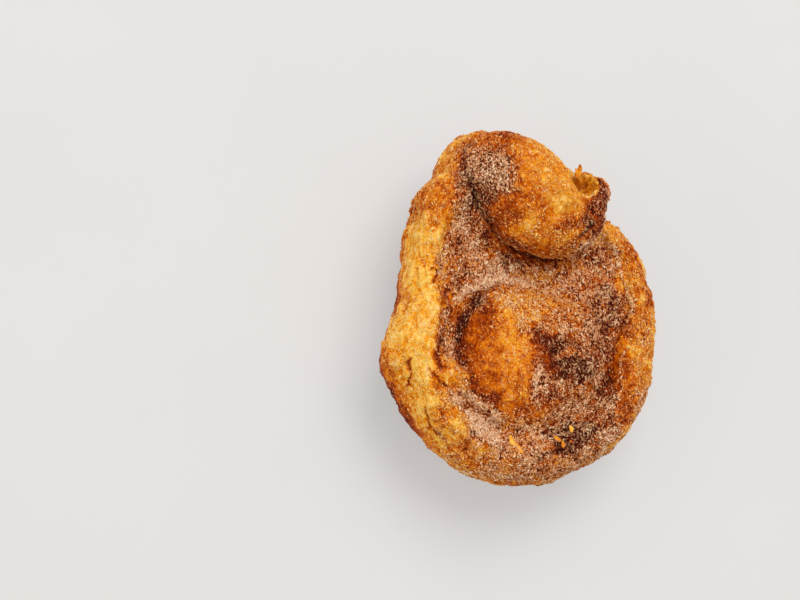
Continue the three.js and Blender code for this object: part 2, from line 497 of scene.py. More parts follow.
# ------------------------------------------------------------------------------------------------
# What is painted and drawn on the crust
# ------------------------------------------------------------------------------------------------
# Brownness painted on the face: centre, half sizes, turn, and the value from 0, pale gold, to 1, burnt.
# A patch lies over those before it.
BROWN_PATCHES = [
    # Left band, from its far end round to the near one.
    ((-23.4, 49), (3.6, 10), 16, 0.13),
    ((-29, 38), (7, 7), 20, 0.36),
    ((-33.3, 33.6), (2.6, 2.8), 20, 0.14),
    ((-33.9, 24.6), (2.6, 3.2), 10, 0.06),
    ((-26.8, 31.5), (2.4, 2.6), 20, 0.4),
    ((-36, 26), (5, 8), 10, 0.13),
    ((-35, 8), (6, 22), 2, 0.07),
    ((-38.4, 15), (1.4, 9), 8, 0.34),
    ((-31.9, 2.0), (3.0, 3.0), 0, 0.16),
    ((-37.0, 13.4), (1.3, 3.0), 0, 0.36),
    ((-43.8, -6), (2.0, 9), 0, 0.42),
    ((-34, -18), (7, 8), 0, 0.12),
    ((-39, -27), (4, 12), 30, 0.46),
    ((-29, -25), (8, 6), -40, 0.07),
    ((-28.2, -27.6), (3.0, 2.4), -20, 0.28),
    ((-32.2, -26.6), (2.6, 2.6), -30, 0.02),
    ((-27.2, -31.8), (3.0, 2.2), -35, 0.03),
    ((-23, -32), (5, 4), -40, 0.16),
    ((-14, -38), (11, 4), -15, 0.34),
    # Painted light: a paler patch on the near lip, which faces away from the lamps.
    ((-20.0, -40.4), (5, 4), -32, 0.03),
    # Valley.
    ((-24, 12), (3, 7), 0, 0.52),
    ((-27.5, 20), (1.2, 2), 0, 0.6),
    ((-24.8, 9.5), (1.4, 2.4), 0, 0.6),
    ((-21.6, 23.4), (2.4, 2.4), 0, 0.64),
    ((-21.8, 28.4), (2.2, 2.2), 0, 0.46),
    ((5.6, 13.6), (5, 3.6), 0, 0.36),
    ((-26.0, 17.5), (2.3, 5.5), 0, 0.28),
    ((15, 20.7), (4, 3), 0, 0.42),
    ((22, 14), (6, 8), 0, 0.6),
    ((27, 4), (5, 10), 0, 0.82),
    ((25, -14), (4, 14), 5, 0.73),
    ((23, -23), (5, 5), 0, 0.82),
    ((24, -28), (3.4, 2.8), 0, 0.84),
    ((12, -34), (10.5, 5.4), 10, 1.1),
    ((-16.0, -29.5), (12.5, 4.0), -42, 0.62),
    ((-19.0, -22.9), (2.8, 1.8), -40, 0.46),
    ((-2, -35), (7, 3), -10, 0.5),
    ((4.5, -39.5), (7.5, 3.2), -12, 0.84),
    ((12, -36.4), (6, 2.4), 10, 0.94),
    ((-24, -16), (6.5, 2.8), -15, 0.18),
    ((-28.6, -18.6), (3.4, 0.8), -32, 0.26),
    ((-19.2, -17), (1.8, 4.5), 28, 0.62),
    ((-28, -10.8), (1.6, 3.2), 0, 0.46),
    ((23.5, 23), (5, 5.5), 0, 0.6),
    ((24.2, 29.2), (3.2, 3), 0, 0.12),
    ((23.8, 16.3), (3.0, 2.4), 0, 0.5),
    # Painted shadow: darker patches along the fold's lower edge, where the fold shades the valley below it.
    ((-12, 30.5), (2.6, 9), 43, 0.8),
    ((-12.9, 28), (2.0, 3.2), 43, 0.98),
    ((-13.3, 28.4), (1.6, 2.2), 43, 1.15),
    ((-8, 24.4), (3, 1.4), -20, 0.94),
    ((-3.2, 20.5), (4.6, 1.6), -8, 0.86),
    ((-12.5, 15.8), (3.0, 2.2), 0, 0.56),
    # Fold, from its dark near end over the golden back to the tail.
    ((-13.8, 43), (8.2, 14), -5, 0.67),
    ((-18.4, 43.8), (1.3, 5), 8, 0.74),
    ((-17.7, 36), (2, 4), 0, 0.78),
    ((-5.6, 46.5), (3, 5.5), -10, 0.36),
    ((-8, 56), (10, 4), -5, 0.46),
    ((-8, 32), (8, 6), -40, 0.42),
    ((4, 47), (10, 10), 0, 0.16),
    ((7, 45), (5, 7), 10, 0.12),
    ((-2, 38), (4, 6), 10, 0.28),
    ((4, 26), (12, 5), -5, 0.25),
    ((-1.5, 29.8), (2.6, 2.2), 0, 0.14),
    ((10.6, 26), (2.6, 2.8), 0, 0.12),
    ((6.8, 22.4), (4, 1.6), -5, 0.42),
    ((11, 31), (4, 4), 0, 0.46),
    ((6.4, 34), (4.6, 4.5), 0, 0.34),
    ((16, 30), (4, 5), 0, 0.5),
    ((14.7, 33.9), (2.8, 2.8), 0, 0.58),
    ((20, 34), (4, 8), -15, 0.72),
    ((19.5, 29.6), (3, 2.4), 0, 0.58),
    ((22.2, 43), (1.8, 1.8), 0, 0.72),
    # Heart: deep orange on its left, golden in the middle, scorched round its dimple.
    ((-18.0, -3), (5.0, 12.0), 5, 0.51),
    ((-14, -18), (4, 9), 36, 0.56),
    ((-10, -7), (8, 15), 4, 0.42),
    ((-6, -8), (4, 9), 4, 0.27),
    ((-7, -22.5), (7, 6.5), -30, 0.36),
    ((-3.1, -24.1), (2.8, 2.2), 0, 0.3),
    ((-12, -16), (1.6, 1.2), 0, 0.56),
    ((-11, -21), (1.2, 1.6), 0, 0.6),
    ((-2.7, -28), (4, 2.2), -10, 0.56),
    ((-14.8, -23.4), (4.2, 2.2), -40, 0.74),
    ((-3, 6.0), (15, 5), 0, 0.22),
    ((-14.0, 2.6), (2.8, 7.5), -42, 0.63),
    ((-13.6, 7.4), (1.9, 3.2), -42, 0.68),
    ((12, 2), (8, 4), 0, 0.46),
    ((10.4, -10.4), (9.8, 7), -32, 0.74),
    ((2.0, -6.2), (2.4, 6.8), 4, 0.72),
    ((5.6, -12), (3, 3.4), 0, 0.88),
    ((0.8, -11), (2.8, 4.5), 4, 0.66),
    ((6, -6.2), (4.5, 2.4), -10, 0.88),
    ((5.8, -15.9), (2.0, 2.2), 0, 0.76),
    ((9.5, -10.1), (2.2, 2.0), 0, 0.84),
    ((14.5, -13.2), (6.4, 4.6), -20, 0.98),
    ((20.4, -3), (4, 6), 0, 0.78),
    ((15.8, -6.6), (3.2, 2.8), 0, 0.62),
    ((12, -9.6), (3.4, 0.9), 5, 0.5),
    ((11, -24), (12, 5), -10, 0.6),
    ((3.5, -17), (5, 7), 10, 0.68),
    ((-2.6, -3), (2.2, 4), 0, 0.28),
    ((-3, -16), (3, 4), 0, 0.42),
    ((7, -2.2), (3.4, 2.2), 0, 0.43),
    # Right rim.
    ((33.4, 19), (3.6, 10), 15, 0.22),
    ((37.0, 19), (2, 9), 15, 0.5),
    ((37.0, 7), (4, 5), 15, 0.52),
    ((36, 2), (5, 7), 0, 0.32),
    ((35, -9), (5, 8), 0, 0.24),
    ((32, -22), (5, 9), -20, 0.4),
    ((29.6, -12), (2.2, 10), 4, 0.48),
    ((34.8, -15), (2.6, 4), 0, 0.24),
    ((29.6, -25.5), (2.4, 4.6), -16, 0.62),
    # Near rim.
    ((2, -44), (30, 4), 0, 0.52),
    ((24, -34), (7, 3), 40, 0.6),
    ((-16, -41), (10, 3), -25, 0.36),
]

# Sugar painted in the same way: from 0, bare, to 1 and more, thickly covered.
SUGAR_PATCHES = [
    ((-20, 34), (4, 10), 10, 0.56),
    ((-12, 22), (3, 8), 50, 0.78),
    ((-21.6, 24), (2.4, 2.8), 0, 0.34),
    ((-21.8, 28.2), (2.8, 2.8), 0, 0.84),
    ((-8, 24.4), (3, 1.4), -20, 0.36),
    ((-26.0, 18.5), (2.2, 5), 0, 0.74),
    ((15, 20.7), (4, 3), 0, 0.76),
    ((5.6, 13.6), (5, 3.6), 0, 0.62),
    ((27.4, 4.6), (2.4, 6), 0, 0.38),
    ((-24, 11), (2, 5), 0, 0.35),
    ((-27.5, 20), (1.6, 2.4), 0, 0.25),
    ((5, 21), (10, 2.5), 0, 0.4),
    ((23.5, 23), (5, 5.5), 0, 0.54),
    ((26, 8), (5, 9), 0, 0.62),
    ((25, -13), (4, 12), 5, 0.4),
    ((23, -23), (5, 6), 0, 0.5),
    ((12, -34), (10, 5.0), 10, 0.36),
    ((-23.4, 49), (3.6, 10), 16, 0.06),
    ((-31, 38), (7, 8), 20, 0.2),
    ((-24, -16), (6.5, 2.8), -15, 0.06),
    ((-35, 8), (7, 30), 2, 0.1),
    ((-39, -27), (4, 12), 30, 0.06),
    ((-30, -27), (7, 8), -40, 0.26),
    ((-17, -36), (12, 5), -28, 0.5),
    ((-13, 43), (9, 13), -5, 0.62),
    ((-18.3, 43.8), (1.5, 5), 8, 0.44),
    ((-10.5, 52.8), (6, 3.6), 0, 0.42),
    ((-11, 46.6), (3.4, 3), 0, 0.9),
    ((-17.7, 36), (2, 4), 0, 0.5),
    ((-8, 56), (10, 4), -5, 0.24),
    ((-8, 32), (8, 6), -40, 0.24),
    ((5, 44), (11, 12), 0, 0.2),
    ((5.2, 33.3), (3.4, 2.8), 0, 0.1),
    ((4, 26), (12, 5), -5, 0.2),
    ((11, 31), (4, 4), 0, 0.34),
    ((16, 30), (5, 5), 0, 0.4),
    ((20, 34), (4, 8), -15, 0.32),
    ((22.2, 43), (1.8, 1.8), 0, 0.03),
    ((-17.4, -2), (6, 13), 8, 0.05),
    ((-9, -8), (9, 16), 4, 0.16),
    ((-14, -20), (9, 3), -45, 0.1),
    ((-6, -23), (7.5, 6), -30, 0.14),
    ((-3, 7.0), (15, 5.0), 0, 0.54),
    ((-14.0, 2.6), (3.0, 7.5), -42, 0.04),
    ((12, 1), (9, 5), 0, 0.56),
    ((2.0, -7), (2.6, 8.0), 6, 0.2),
    ((13, -14), (8, 6), 0, 0.32),
    ((20, -10), (3, 12), 0, 0.5),
    ((10, -25), (13, 6), -10, 0.46),
    ((3.5, -17), (5, 7), 10, 0.4),
    ((0.8, -16.6), (1.6, 3.8), 8, 0.9),
    ((15.8, -6.6), (3.2, 2.8), 0, 0.5),
    ((-2.7, -28), (4, 2.2), -10, 0.24),
    ((6.7, -27.7), (4, 2.4), 0, 0.64),
    ((-2.6, -3), (2.2, 4), 0, 0.66),
    ((-16.0, -29.5), (12.5, 3.9), -42, 1.1),
    ((-2, -33), (9, 4), -8, 0.72),
    ((35, 0), (5, 32), 0, 0.3),
    ((36, -3), (3, 4), 0, 0.5),
    ((35.6, -23), (3, 5), 0, 0.62),
    # Painted light: more sugar on the near lip, to pale it where it faces away from the lamps.
    ((-20.0, -40.4), (5, 4), -32, 0.3),
    ((29.6, -15), (2.4, 9), 4, 0.06),
    ((4, -42), (24, 5), 4, 0.72),
    ((24, -34), (7, 3), 40, 0.96),
    ((5, -39.4), (7, 3), -12, 0.46),
    ((-14.4, -23.4), (5, 2.8), -40, 0.1),
    ((11.3, -2.8), (3, 2.4), 0, 0.62),
    ((-12, 15.4), (9, 2.0), 14, 0.86),
    ((-12.9, 28), (2.0, 3.2), 43, 0.36),
    ((1.3, -11.8), (2.4, 3), 0, 0.24),
    ((-10, 2), (3, 3), 0, 0.34),
    ((21.7, -2), (3, 3), 0, 0.42),
    ((24.9, -23.6), (2.6, 2.6), 0, 0.74),
    ((21.2, -14.8), (2.6, 3.4), 0, 0.36),
    ((15.8, -23.4), (3, 2.4), 0, 0.66),
    ((5.2, -12.6), (2.0, 3.2), 15, 0.1),
    ((5.0, -6.6), (3.2, 2.2), 0, 0.3),
    ((9.5, -10.4), (2.0, 1.8), 0, 0.26),
    ((5.8, -16.2), (2.0, 2.0), 0, 0.2),
    ((27.3, 2.9), (2.6, 3.0), 0, 0.42),
    ((23.8, 16.3), (3.0, 2.4), 0, 0.74),
    ((24.4, 29.0), (2.4, 2.6), 0, 0.6),
    ((11.4, -31.8), (3.0, 2.0), 0, 0.5),
    ((-3.1, -24.1), (2.8, 2.2), 0, 0.2),
    ((-26.0, 20.4), (1.6, 2.4), 0, 0.8),
    ((-12.8, 24.0), (1.8, 2.2), 0, 0.7),
    ((26.6, -1.6), (2, 3), 0, 0.6),
    ((-21.5, 15.7), (2.4, 3), 0, 0.74),
    ((16.5, -36.4), (5.4, 2.6), 10, 0.46),
    ((10.6, -35.4), (6.4, 3.6), 10, 0.32),
]

# Lines drawn on the crust: the points of each path, its width and its depth. A line that stands up has a
# depth below nothing, and is painted pale with sugar that also stands in for a highlight along it. Those
# deeper than a crack's depth are open cracks.
LINES = [
    ([(-27.6, 21.0), (-27.0, 18.4), (-28.8, 16.0), (-29.8, 13.4)], 0.6, 0.8),
    ([(-28.6, 16.2), (-30.4, 17.6)], 0.5, 0.7),
    ([(-37.5, -9.4), (-37.9, -11.5), (-36.9, -13.7), (-37.2, -16.4)], 0.5, 0.7),
    ([(-33.6, -24.0), (-32.2, -27.5), (-31.6, -29.8)], 0.5, 0.7),
    ([(-30.8, -30.6), (-28.3, -32.4), (-26.6, -34.2)], 0.4, 0.7),
    ([(-28.8, -25.8), (-27.8, -28.1)], 0.45, 0.7),
    ([(-32.2, -12.5), (-31.6, -13.9), (-30.4, -15.4), (-29.2, -17.6), (-27.6, -18.2), (-26.2, -19.4)],
     0.5, 0.8),
    ([(-27.5, -3.3), (-29.2, -7.0), (-29.7, -10.5), (-28.6, -12.9)], 0.6, 0.7),
    ([(-20.2, -11.5), (-19.2, -14.5), (-19.4, -17.5)], 0.5, 0.6),
    ([(17.2, 29.4), (15.6, 26.6), (14.2, 24.4)], 0.7, 0.9),
    ([(-19.2, 56), (-19.9, 50), (-19.8, 45), (-19.0, 37)], 0.7, 0.6),
    ([(-22.6, 56), (-23.4, 50), (-23.0, 45)], 0.45, 0.5),
    ([(-20.8, 57), (-21.4, 51), (-21.0, 46)], 0.4, 0.4),
    ([(1.0, 0), (3.0, -6), (1.0, -12)], 1.0, 0.6),
    ([(6.0, -8.0), (11.0, -10.0), (17.0, -9.4)], 0.8, 0.6),
    ([(4.0, -17), (9.0, -19.4), (15.0, -20)], 1.2, -0.4),
    ([(-21.6, 8.6), (-17.8, 12.2), (-14.5, 13.8), (-8.3, 15.2), (-2.0, 14.9), (2.2, 13.4)],
     1.3, -1.0),
    ([(20.5, 2.5), (23.4, -4.0), (23.6, -9.0), (22.3, -16.0), (18.8, -21.5), (13.5, -26.5), (8.5, -30.0)],
     1.0, -0.25),
    ([(28.0, 27.5), (30.3, 22.5), (31.2, 16.2), (33.0, 11.5), (33.8, 8.0), (33.2, 4.0)], 0.55, -0.8),
    ([(29.4, -8), (28.0, -14), (28.6, -20)], 0.6, -0.5),
    ([(15.5, 22.8), (20.6, 25.8), (23.2, 28.8), (24.6, 32.0)], 0.6, -0.6),
]
CRACK_DEPTH = 0.65
# A distance, in millimetres, at which no crack shows.
NO_CRACK_NEAR = 3.0

# Lumps of the crust that stand out or, below nothing, sink in: centre, half sizes, turn and height.
KNOBS = [
    ((31.4, 26.4), (3.4, 4.2), -20, 1.2),
    ((28.4, 33.8), (4.2, 4.0), 0, -3.0),
    ((17.6, 49.6), (6.4, 3.2), -10, -1.6),
    ((33.0, 29.5), (4.6, 3.6), -45, -2.0),
    ((37.0, 10.5), (3.0, 3.4), 0, 1.0),
    ((38.5, -4.0), (3.0, 4.4), 0, 0.8),
    ((-31.5, -17.0), (3.6, 3.6), 0, 1.0),
    ((-26.0, -14.6), (3.0, 2.0), -10, 1.0),
    ((-21.6, -15.4), (1.8, 1.6), 0, 0.8),
    ((-29.0, -26.0), (2.8, 4.4), 35, 0.9),
    ((-23.5, -31.5), (3.4, 2.4), -40, 0.9),
    ((-18.0, -34.0), (3.0, 2.4), -30, 0.7),
    ((-36.5, -14.0), (2.6, 4.6), 10, 0.7),
    ((-35.0, 14.0), (2.4, 6.0), 5, 0.6),
    ((8.0, -10.0), (4.5, 4.0), 20, -1.2),
    ((-35.6, 37.0), (3.8, 5.4), -20, -2.9),
    ((-29.0, 44.0), (3.2, 4.2), -40, 1.2),
    ((-11.0, 30.0), (3.8, 10.5), 43, 1.6),
]

# Where coarse sugar lies thick: centre, half sizes, turn and how much more of it.
COARSE_PATCHES = [
    ((0.8, -16.5), (2.4, 7), 6, 4.0),
    ((8, -25), (12, 6), -10, 0.5),
    ((-15.5, -29), (12.5, 4.4), -42, 1.6),
    ((-3, -36), (16, 6), 0, 0.6),
    ((14, -8), (8, 8), 0, 0.2),
    ((-6, 7), (12, 5), 0, 0.3),
]

# Where the wall is paler or browner than elsewhere, and where it holds less or more sugar: in which
# direction, how wide, how much. The paler crust and the extra sugar at 243 degrees are painted light on the
# near wall, which faces away from the lamps. The tones fade out towards the foot.
WALL_TONES_AND_PAINTED_LIGHT = [(160, 32, -0.3), (159, 10, 0.26), (192, 12, 0.16), (222, 26, 0.1), (243, 12, -0.38)]
WALL_SHADE_HEIGHTS = (6.0, 20.0)
WALL_SUGAR = [(160, 14, -0.42), (218, 30, -0.3), (243, 9, 0.5), (279, 12, 0.25)]

# The turn of dough round the heart: an oval seen from above. Its edge stands up, pale with sugar that also
# stands in for a highlight along it, and inside it runs a groove that is pushed in and darkened as painted
# shade: the width of each and how far out of the oval its middle is, and then how strongly it shows: in which
# direction, how wide, how much.
TURN_CENTRE = (0.0, -6.5)
TURN_HALF = (24.3, 22.5)
TURN_EDGE = (1.1, 0.3)
TURN_GROOVE = (1.4, -1.8)
TURN_EDGE_SHOWS = [
    (222, 30, 0.6),
]
TURN_GROOVE_SHOWS = [
    (137, 15, 0.9),
    (160, 20, 0.9),
    (188, 12, 0.5),
]
# How much of the ragged outline the turn of dough takes on.
TURN_RAGGED = 0.4


def path_offset(seen, path):
    """Distance seen from above to the nearest stretch of a path, positive on its left and negative on its
    right."""
    nearest = np.full(len(seen), np.inf)
    for start, end in zip(path[:-1], path[1:]):
        run = np.array(end, float) - np.array(start, float)
        apart = seen - np.array(start, float)
        along = np.clip(apart @ run / (run @ run), 0.0, 1.0)
        distance = np.linalg.norm(apart - along[:, None] * run, axis=1)
        side = np.where(run[0] * apart[:, 1] - run[1] * apart[:, 0] < 0.0, -1.0, 1.0)
        nearest = np.where(distance < np.abs(nearest), side * distance, nearest)
    return nearest


def drawn_lines(seen):
    """All the lines together, each fading across as bell(distance, width): how deep each point is pressed,
    how much of it is by a crack, how far it is from that crack and on which side, and how much of it is on an
    edge that stands up, the more so the higher that edge is."""
    pressed, cracked, raised = np.zeros((3, len(seen)))
    crack_side = np.full(len(seen), NO_CRACK_NEAR)
    for path, width, depth in LINES:
        offset = path_offset(seen, path)
        line = bell(offset, width)
        pressed += line * depth
        if depth > CRACK_DEPTH:
            cracked = np.maximum(cracked, line)
            crack_side = np.where(np.abs(offset) < np.abs(crack_side), offset, crack_side)
        if depth < 0.0:
            raised = np.maximum(raised, -depth * line)
    return pressed, cracked, crack_side, raised


def turn_of_dough(seen):
    """The edge and the groove of the turn round the heart: bells across the distance to the oval, which is
    (r - 1) times its mean half size with r the point's share of the oval, times how much each shows there."""
    local = seen - np.array(TURN_CENTRE)
    outside = (np.hypot(*(local / np.array(TURN_HALF)).T) - 1.0) * np.mean(TURN_HALF)
    degrees = np.degrees(np.arctan2(local[:, 1], local[:, 0]))
    edge = bell(outside, *TURN_EDGE) * np.clip(swelling(TURN_EDGE_SHOWS, degrees), 0.0, 1.0)
    groove = bell(outside, *TURN_GROOVE) * np.clip(swelling(TURN_GROOVE_SHOWS, degrees), 0.0, 1.0)
    return edge, groove


# ------------------------------------------------------------------------------------------------
# Fields on the crust
# ------------------------------------------------------------------------------------------------
# How near a lump's surface, in millimetres, a point is on it, and the heights from which there is fold,
# heart and face. The band begins where the lip's share of the radius is passed.
ON_LUMP = (0.5, 1.3)
ON_HEART = (-0.6, 2.4)
FOLD_HEIGHTS = (26.0, 32.0)
HEART_HEIGHTS = (28.0, 33.0)
FACE_HEIGHTS = (26.0, 31.0)
ON_BAND = (-0.03, 0.03)

# Torn crumb: how near the hollow's surface and from which height, and, seen from above, the deep end of the
# hollow, where the crumb is painted darker as shade, the rim behind it and a streak on the fold's back:
# centre, half sizes, turn and softness.
ON_TORN = (0.2, 1.0)
TORN_HEIGHTS = (38.0, 41.0)
TORN_DEEP = ((16.4, 42.0), (3.2, 2.6), 0.0, 0.9)
TORN_RIM = ((19.2, 48.4), (4.6, 2.8), -18.0, 0.5)
TORN_STREAK = ((9.0, 35.8), (6.0, 3.4), -5.0, 0.9)
TORN_RIM_SHARE = 0.9
TORN_STREAK_SHARE = 0.85

# The crease under the fold, which is pushed in and darkened as painted shadow: its width and how far from
# the fold its middle is, where it begins, and the place on the far rim where it fades out, with how much of
# it goes.
CREASE = (1.2, 0.8)
CREASE_FROM = (-0.4, 0.6)
CREASE_GAP = ((-18.0, 54.0), (8.0, 9.0), 0.0, 0.3)
CREASE_LOSS = 0.9

# The fold's side that is painted in shade: up to which height, and how far along X, which is counted on by a
# share of Y past a start.
FOLD_SIDE_HEIGHTS = (40.0, 52.0)
FOLD_SIDE_ENDS = (-10.0, 8.0)
FOLD_SIDE_SLANT = 0.5
FOLD_SIDE_START = 26.0

# Brownness of each part. The wall goes from the first to the second value with height.
PART_BROWN = {"valley": 0.55, "band": 0.18, "heart": 0.4, "fold": 0.36, "ledge": 0.22}
WALL_BROWN = (0.8, 0.4)
WALL_BROWN_HEIGHTS = (8.0, 30.0)
# How much brownness varies, and how much less so on some parts. What the marks add to it: painted shade in
# the crease under the fold, in the groove round the heart and on the fold's shaded side, and the dark of
# cracks.
BROWNING = 0.24
BROWNING_LESS = {"heart": 0.14, "fold": 0.13, "band": 0.1, "valley": 0.07}
MARK_SHADE_AND_CRACK_BROWN = {"crease": 0.36, "groove": 0.56, "fold_painted_shade": 0.22, "cracked": 0.3}
# What a pressed line adds, and the share of that which is missing on the heart.
PRESSED_BROWN = 0.24
PRESSED_HEART_LOSS = 0.6
# One brownness for edges that stand up, how far they take it over, and how much less far the drawn ones do.
# Then that of torn crumb at its shallowest, and how much more it is where it's deep, as painted shade in the
# hollow.
EDGE_BROWN = 0.46
EDGE_BROWN_SHARE = 0.9
RAISED_BROWN_SHARE = 0.7
TORN_BROWN = 0.12
TORN_HOLLOW_SHADE = 0.8

# Sugar on each part. Grooves and the fold's side hold little, which deepens the painted shade there, and
# edges that stand up the most, which also stands in for a highlight along them: how much, and how far each of
# these marks takes that over.
PART_SUGAR = {"valley": 0.64, "band": 0.25, "heart": 0.4, "fold": 0.45, "ledge": 0.2, "wall": 0.4}
LOW_SUGAR = 0.3
GROOVE_SHARE = 0.9
FOLD_SIDE_SHARE = 0.8
EDGE_SUGAR = 1.35
RAISED_SUGAR_SHARE = 0.9
# It begins above the foot, and some of it is missing from torn crumb and from the crease, which deepens the
# painted shadow there.
SUGAR_HEIGHTS = (1.0, 5.0)
TORN_SUGAR_LOSS = 0.75
CREASE_SUGAR_LOSS = 0.3


def directions(points):
    """The direction of each point from the middle, in degrees."""
    return np.degrees(np.arctan2(points[:, 1], points[:, 0]))


def outline_share(points):
    """How far out each point is, as a share of the outline's radius in its direction."""
    return np.hypot(points[:, 0], points[:, 1]) / outline_radius(directions(points))


def past_lip(points):
    """How far past the rim's lip each point is, as a share of the radius: positive on the band of the rim
    and negative in the valley."""
    degrees = directions(points)
    lip = LIP_SHARE * (CREST_SHARE + swelling(ROLL_SWELLINGS, degrees)) + swelling(LIP_SHIFTS, degrees)
    return outline_share(points) - lip


def parts_of_dough(points):
    """How much each point belongs to the fold, the heart, the ledge, the band of the rim, the valley inside
    it, the wall and the face, which is all that isn't wall, and how far outside the fold it is."""
    height = points[:, 2]
    uneven = unevenness(points)
    near = {name: lump_depth(points, lump) - uneven for name, lump in LUMPS.items()}
    on = {name: 1.0 - smoothstep(*ON_LUMP, np.abs(depth)) for name, depth in near.items()}
    fold = np.maximum(on["fold"], on["fold_tail"]) * smoothstep(*FOLD_HEIGHTS, height)
    heart = 1.0 - smoothstep(*ON_HEART, near["heart"] + random_field(points, "heart_edge"))
    heart *= (1.0 - fold) * smoothstep(*HEART_HEIGHTS, height)
    plain = (1.0 - fold) * (1.0 - heart)
    face = smoothstep(*FACE_HEIGHTS, height)
    band = smoothstep(*ON_BAND, past_lip(points) + random_field(points, "lip_edge"))
    return {
        "fold": fold,
        "heart": heart,
        "ledge": on["ledge"],
        "band": plain * face * band,
        "valley": plain * face * (1.0 - band) * (1.0 - on["ledge"]),
        "wall": plain * (1.0 - face),
        "face": face,
        "from_fold": np.minimum(near["fold"], near["fold_tail"]),
    }


def torn_crumb(points, seen, at):
    """Where the dough is torn, which is on the hollow's surface, the rim behind it and a streak on the fold,
    and how deep in the hollow it lies, where it is painted darker as shade."""
    hollow = lump_depth(points, TORN_HOLLOW) - unevenness(points)
    inside = 1.0 - smoothstep(*ON_TORN, np.abs(hollow) + random_field(points, "torn_edge"))
    deep = inside * patch(points[:, :2], *TORN_DEEP)
    rim = TORN_RIM_SHARE * at["fold"] * patch(seen, *TORN_RIM)
    streak = TORN_STREAK_SHARE * at["fold"] * patch(seen, *TORN_STREAK)
    high = smoothstep(*TORN_HEIGHTS, points[:, 2])
    return {"torn": np.maximum(np.maximum(inside, rim) * high, streak), "torn_hollow_shade": deep}


def crust_marks(points, seen, at):
    """The marks on the dough, by name: the crease under the fold, the fold's shaded side, the edge and the
    groove of the turn of dough, and the drawn lines. The crease, the groove and the fold's side also carry
    painted shade."""
    plan = points[:, :2]
    crease = at["face"] * bell(at["from_fold"], *CREASE) * smoothstep(*CREASE_FROM, at["from_fold"])
    crease *= 1.0 - CREASE_LOSS * patch(plan, *CREASE_GAP)
    edge, groove = turn_of_dough(mix(plan, seen, TURN_RAGGED))
    off_fold = at["face"] * (1.0 - at["fold"])
    rise = points[:, 2] + random_field(points, "fold_side_edge")
    along = points[:, 0] + FOLD_SIDE_SLANT * (points[:, 1] - FOLD_SIDE_START)
    fold_painted_shade = (1.0 - smoothstep(*FOLD_SIDE_HEIGHTS, rise)) * (1.0 - smoothstep(*FOLD_SIDE_ENDS, along))
    pressed, cracked, crack_side, raised = drawn_lines(plan + swerve(points, *LINE_SWERVE))
    return {
        "crease": crease,
        "fold_painted_shade": at["fold"] * fold_painted_shade,
        "edge": edge * off_fold,
        "groove": groove * off_fold,
        "pressed": pressed * at["face"],
        "cracked": cracked * at["face"],
        "raised": raised * at["face"],
        "crack_side": crack_side,
    }


def brownness(points, seen, at):
    """From 0, pale gold, to 1, burnt: that of each part, painted over on the face, where some patches are
    painted shadow or painted light, varied at random, more in the marks that lie deep, which is painted shade
    in the crease, the groove and on the fold's side and the dark of cracks, and drawn to one value on edges
    that stand up and to another where it's torn, darker deep in the hollow as painted shade."""
    height = points[:, 2]
    wall = mix(*WALL_BROWN, smoothstep(*WALL_BROWN_HEIGHTS, height))
    wall += swelling(WALL_TONES_AND_PAINTED_LIGHT, directions(points)) * smoothstep(*WALL_SHADE_HEIGHTS, height)
    brown = weighted(at, PART_BROWN) + at["wall"] * wall
    brown = mix(brown, painted(seen, brown, BROWN_PATCHES), at["face"])
    brown += random_field(points, "browning") * (BROWNING - weighted(at, BROWNING_LESS))
    brown += weighted(at, MARK_SHADE_AND_CRACK_BROWN)
    brown += PRESSED_BROWN * np.clip(at["pressed"], 0.0, 1.0) * (1.0 - PRESSED_HEART_LOSS * at["heart"])
    standing = EDGE_BROWN_SHARE * np.maximum(at["edge"], RAISED_BROWN_SHARE * at["raised"])
    brown = mix(brown, EDGE_BROWN, standing)
    brown = mix(brown, TORN_BROWN + TORN_HOLLOW_SHADE * at["torn_hollow_shade"], at["torn"])
    return np.clip(brown, 0.0, 1.0)


def sugar_cover(points, seen, at):
    """From 0, bare, to 1 and over, thickly covered: that of each part, painted over on the face and gathered
    in drifts and clumps, less of it in deep marks, which deepens the painted shade there, and most on edges
    that stand up, which also stands in for a highlight along them."""
    sugar = weighted(at, PART_SUGAR) + at["wall"] * swelling(WALL_SUGAR, directions(points))
    sugar = mix(sugar, painted(seen, sugar, SUGAR_PATCHES), at["face"])
    sugar *= 1.0 + random_field(points, "sugar_drifts") + random_field(points, "sugar_clumps")
    sugar = np.clip(sugar, 0.0, 1.0)
    low = np.maximum(GROOVE_SHARE * at["groove"], FOLD_SIDE_SHARE * at["fold_painted_shade"])
    sugar = mix(sugar, LOW_SUGAR, low)
    sugar = mix(sugar, EDGE_SUGAR, np.maximum(at["edge"], RAISED_SUGAR_SHARE * at["raised"]))
    sugar *= smoothstep(*SUGAR_HEIGHTS, points[:, 2])
    return sugar * (1.0 - TORN_SUGAR_LOSS * at["torn"]) * (1.0 - CREASE_SUGAR_LOSS * at["crease"])


def crust_fields(points):
    """Everything that the relief and the materials ask of a place on the dough, by name."""
    seen = ragged(points)
    at = parts_of_dough(points)
    at |= torn_crumb(points, seen, at)
    at |= crust_marks(points, seen, at)
    at["brown"] = brownness(points, seen, at)
    at["sugar"] = sugar_cover(points, seen, at)
    at["seen"] = seen
    return at


# ------------------------------------------------------------------------------------------------
# Relief of the crust, and the dough
# ------------------------------------------------------------------------------------------------
# How many times a pattern is stretched along the wrap of the dough, and the radii of the circles, in
# millimetres, that the ways round the cup and round the heart are measured on.
WRAP_STRETCH = 4.0
WRAP_CIRCLE = 45.0 / WRAP_STRETCH
HEART_CIRCLE = 3.0

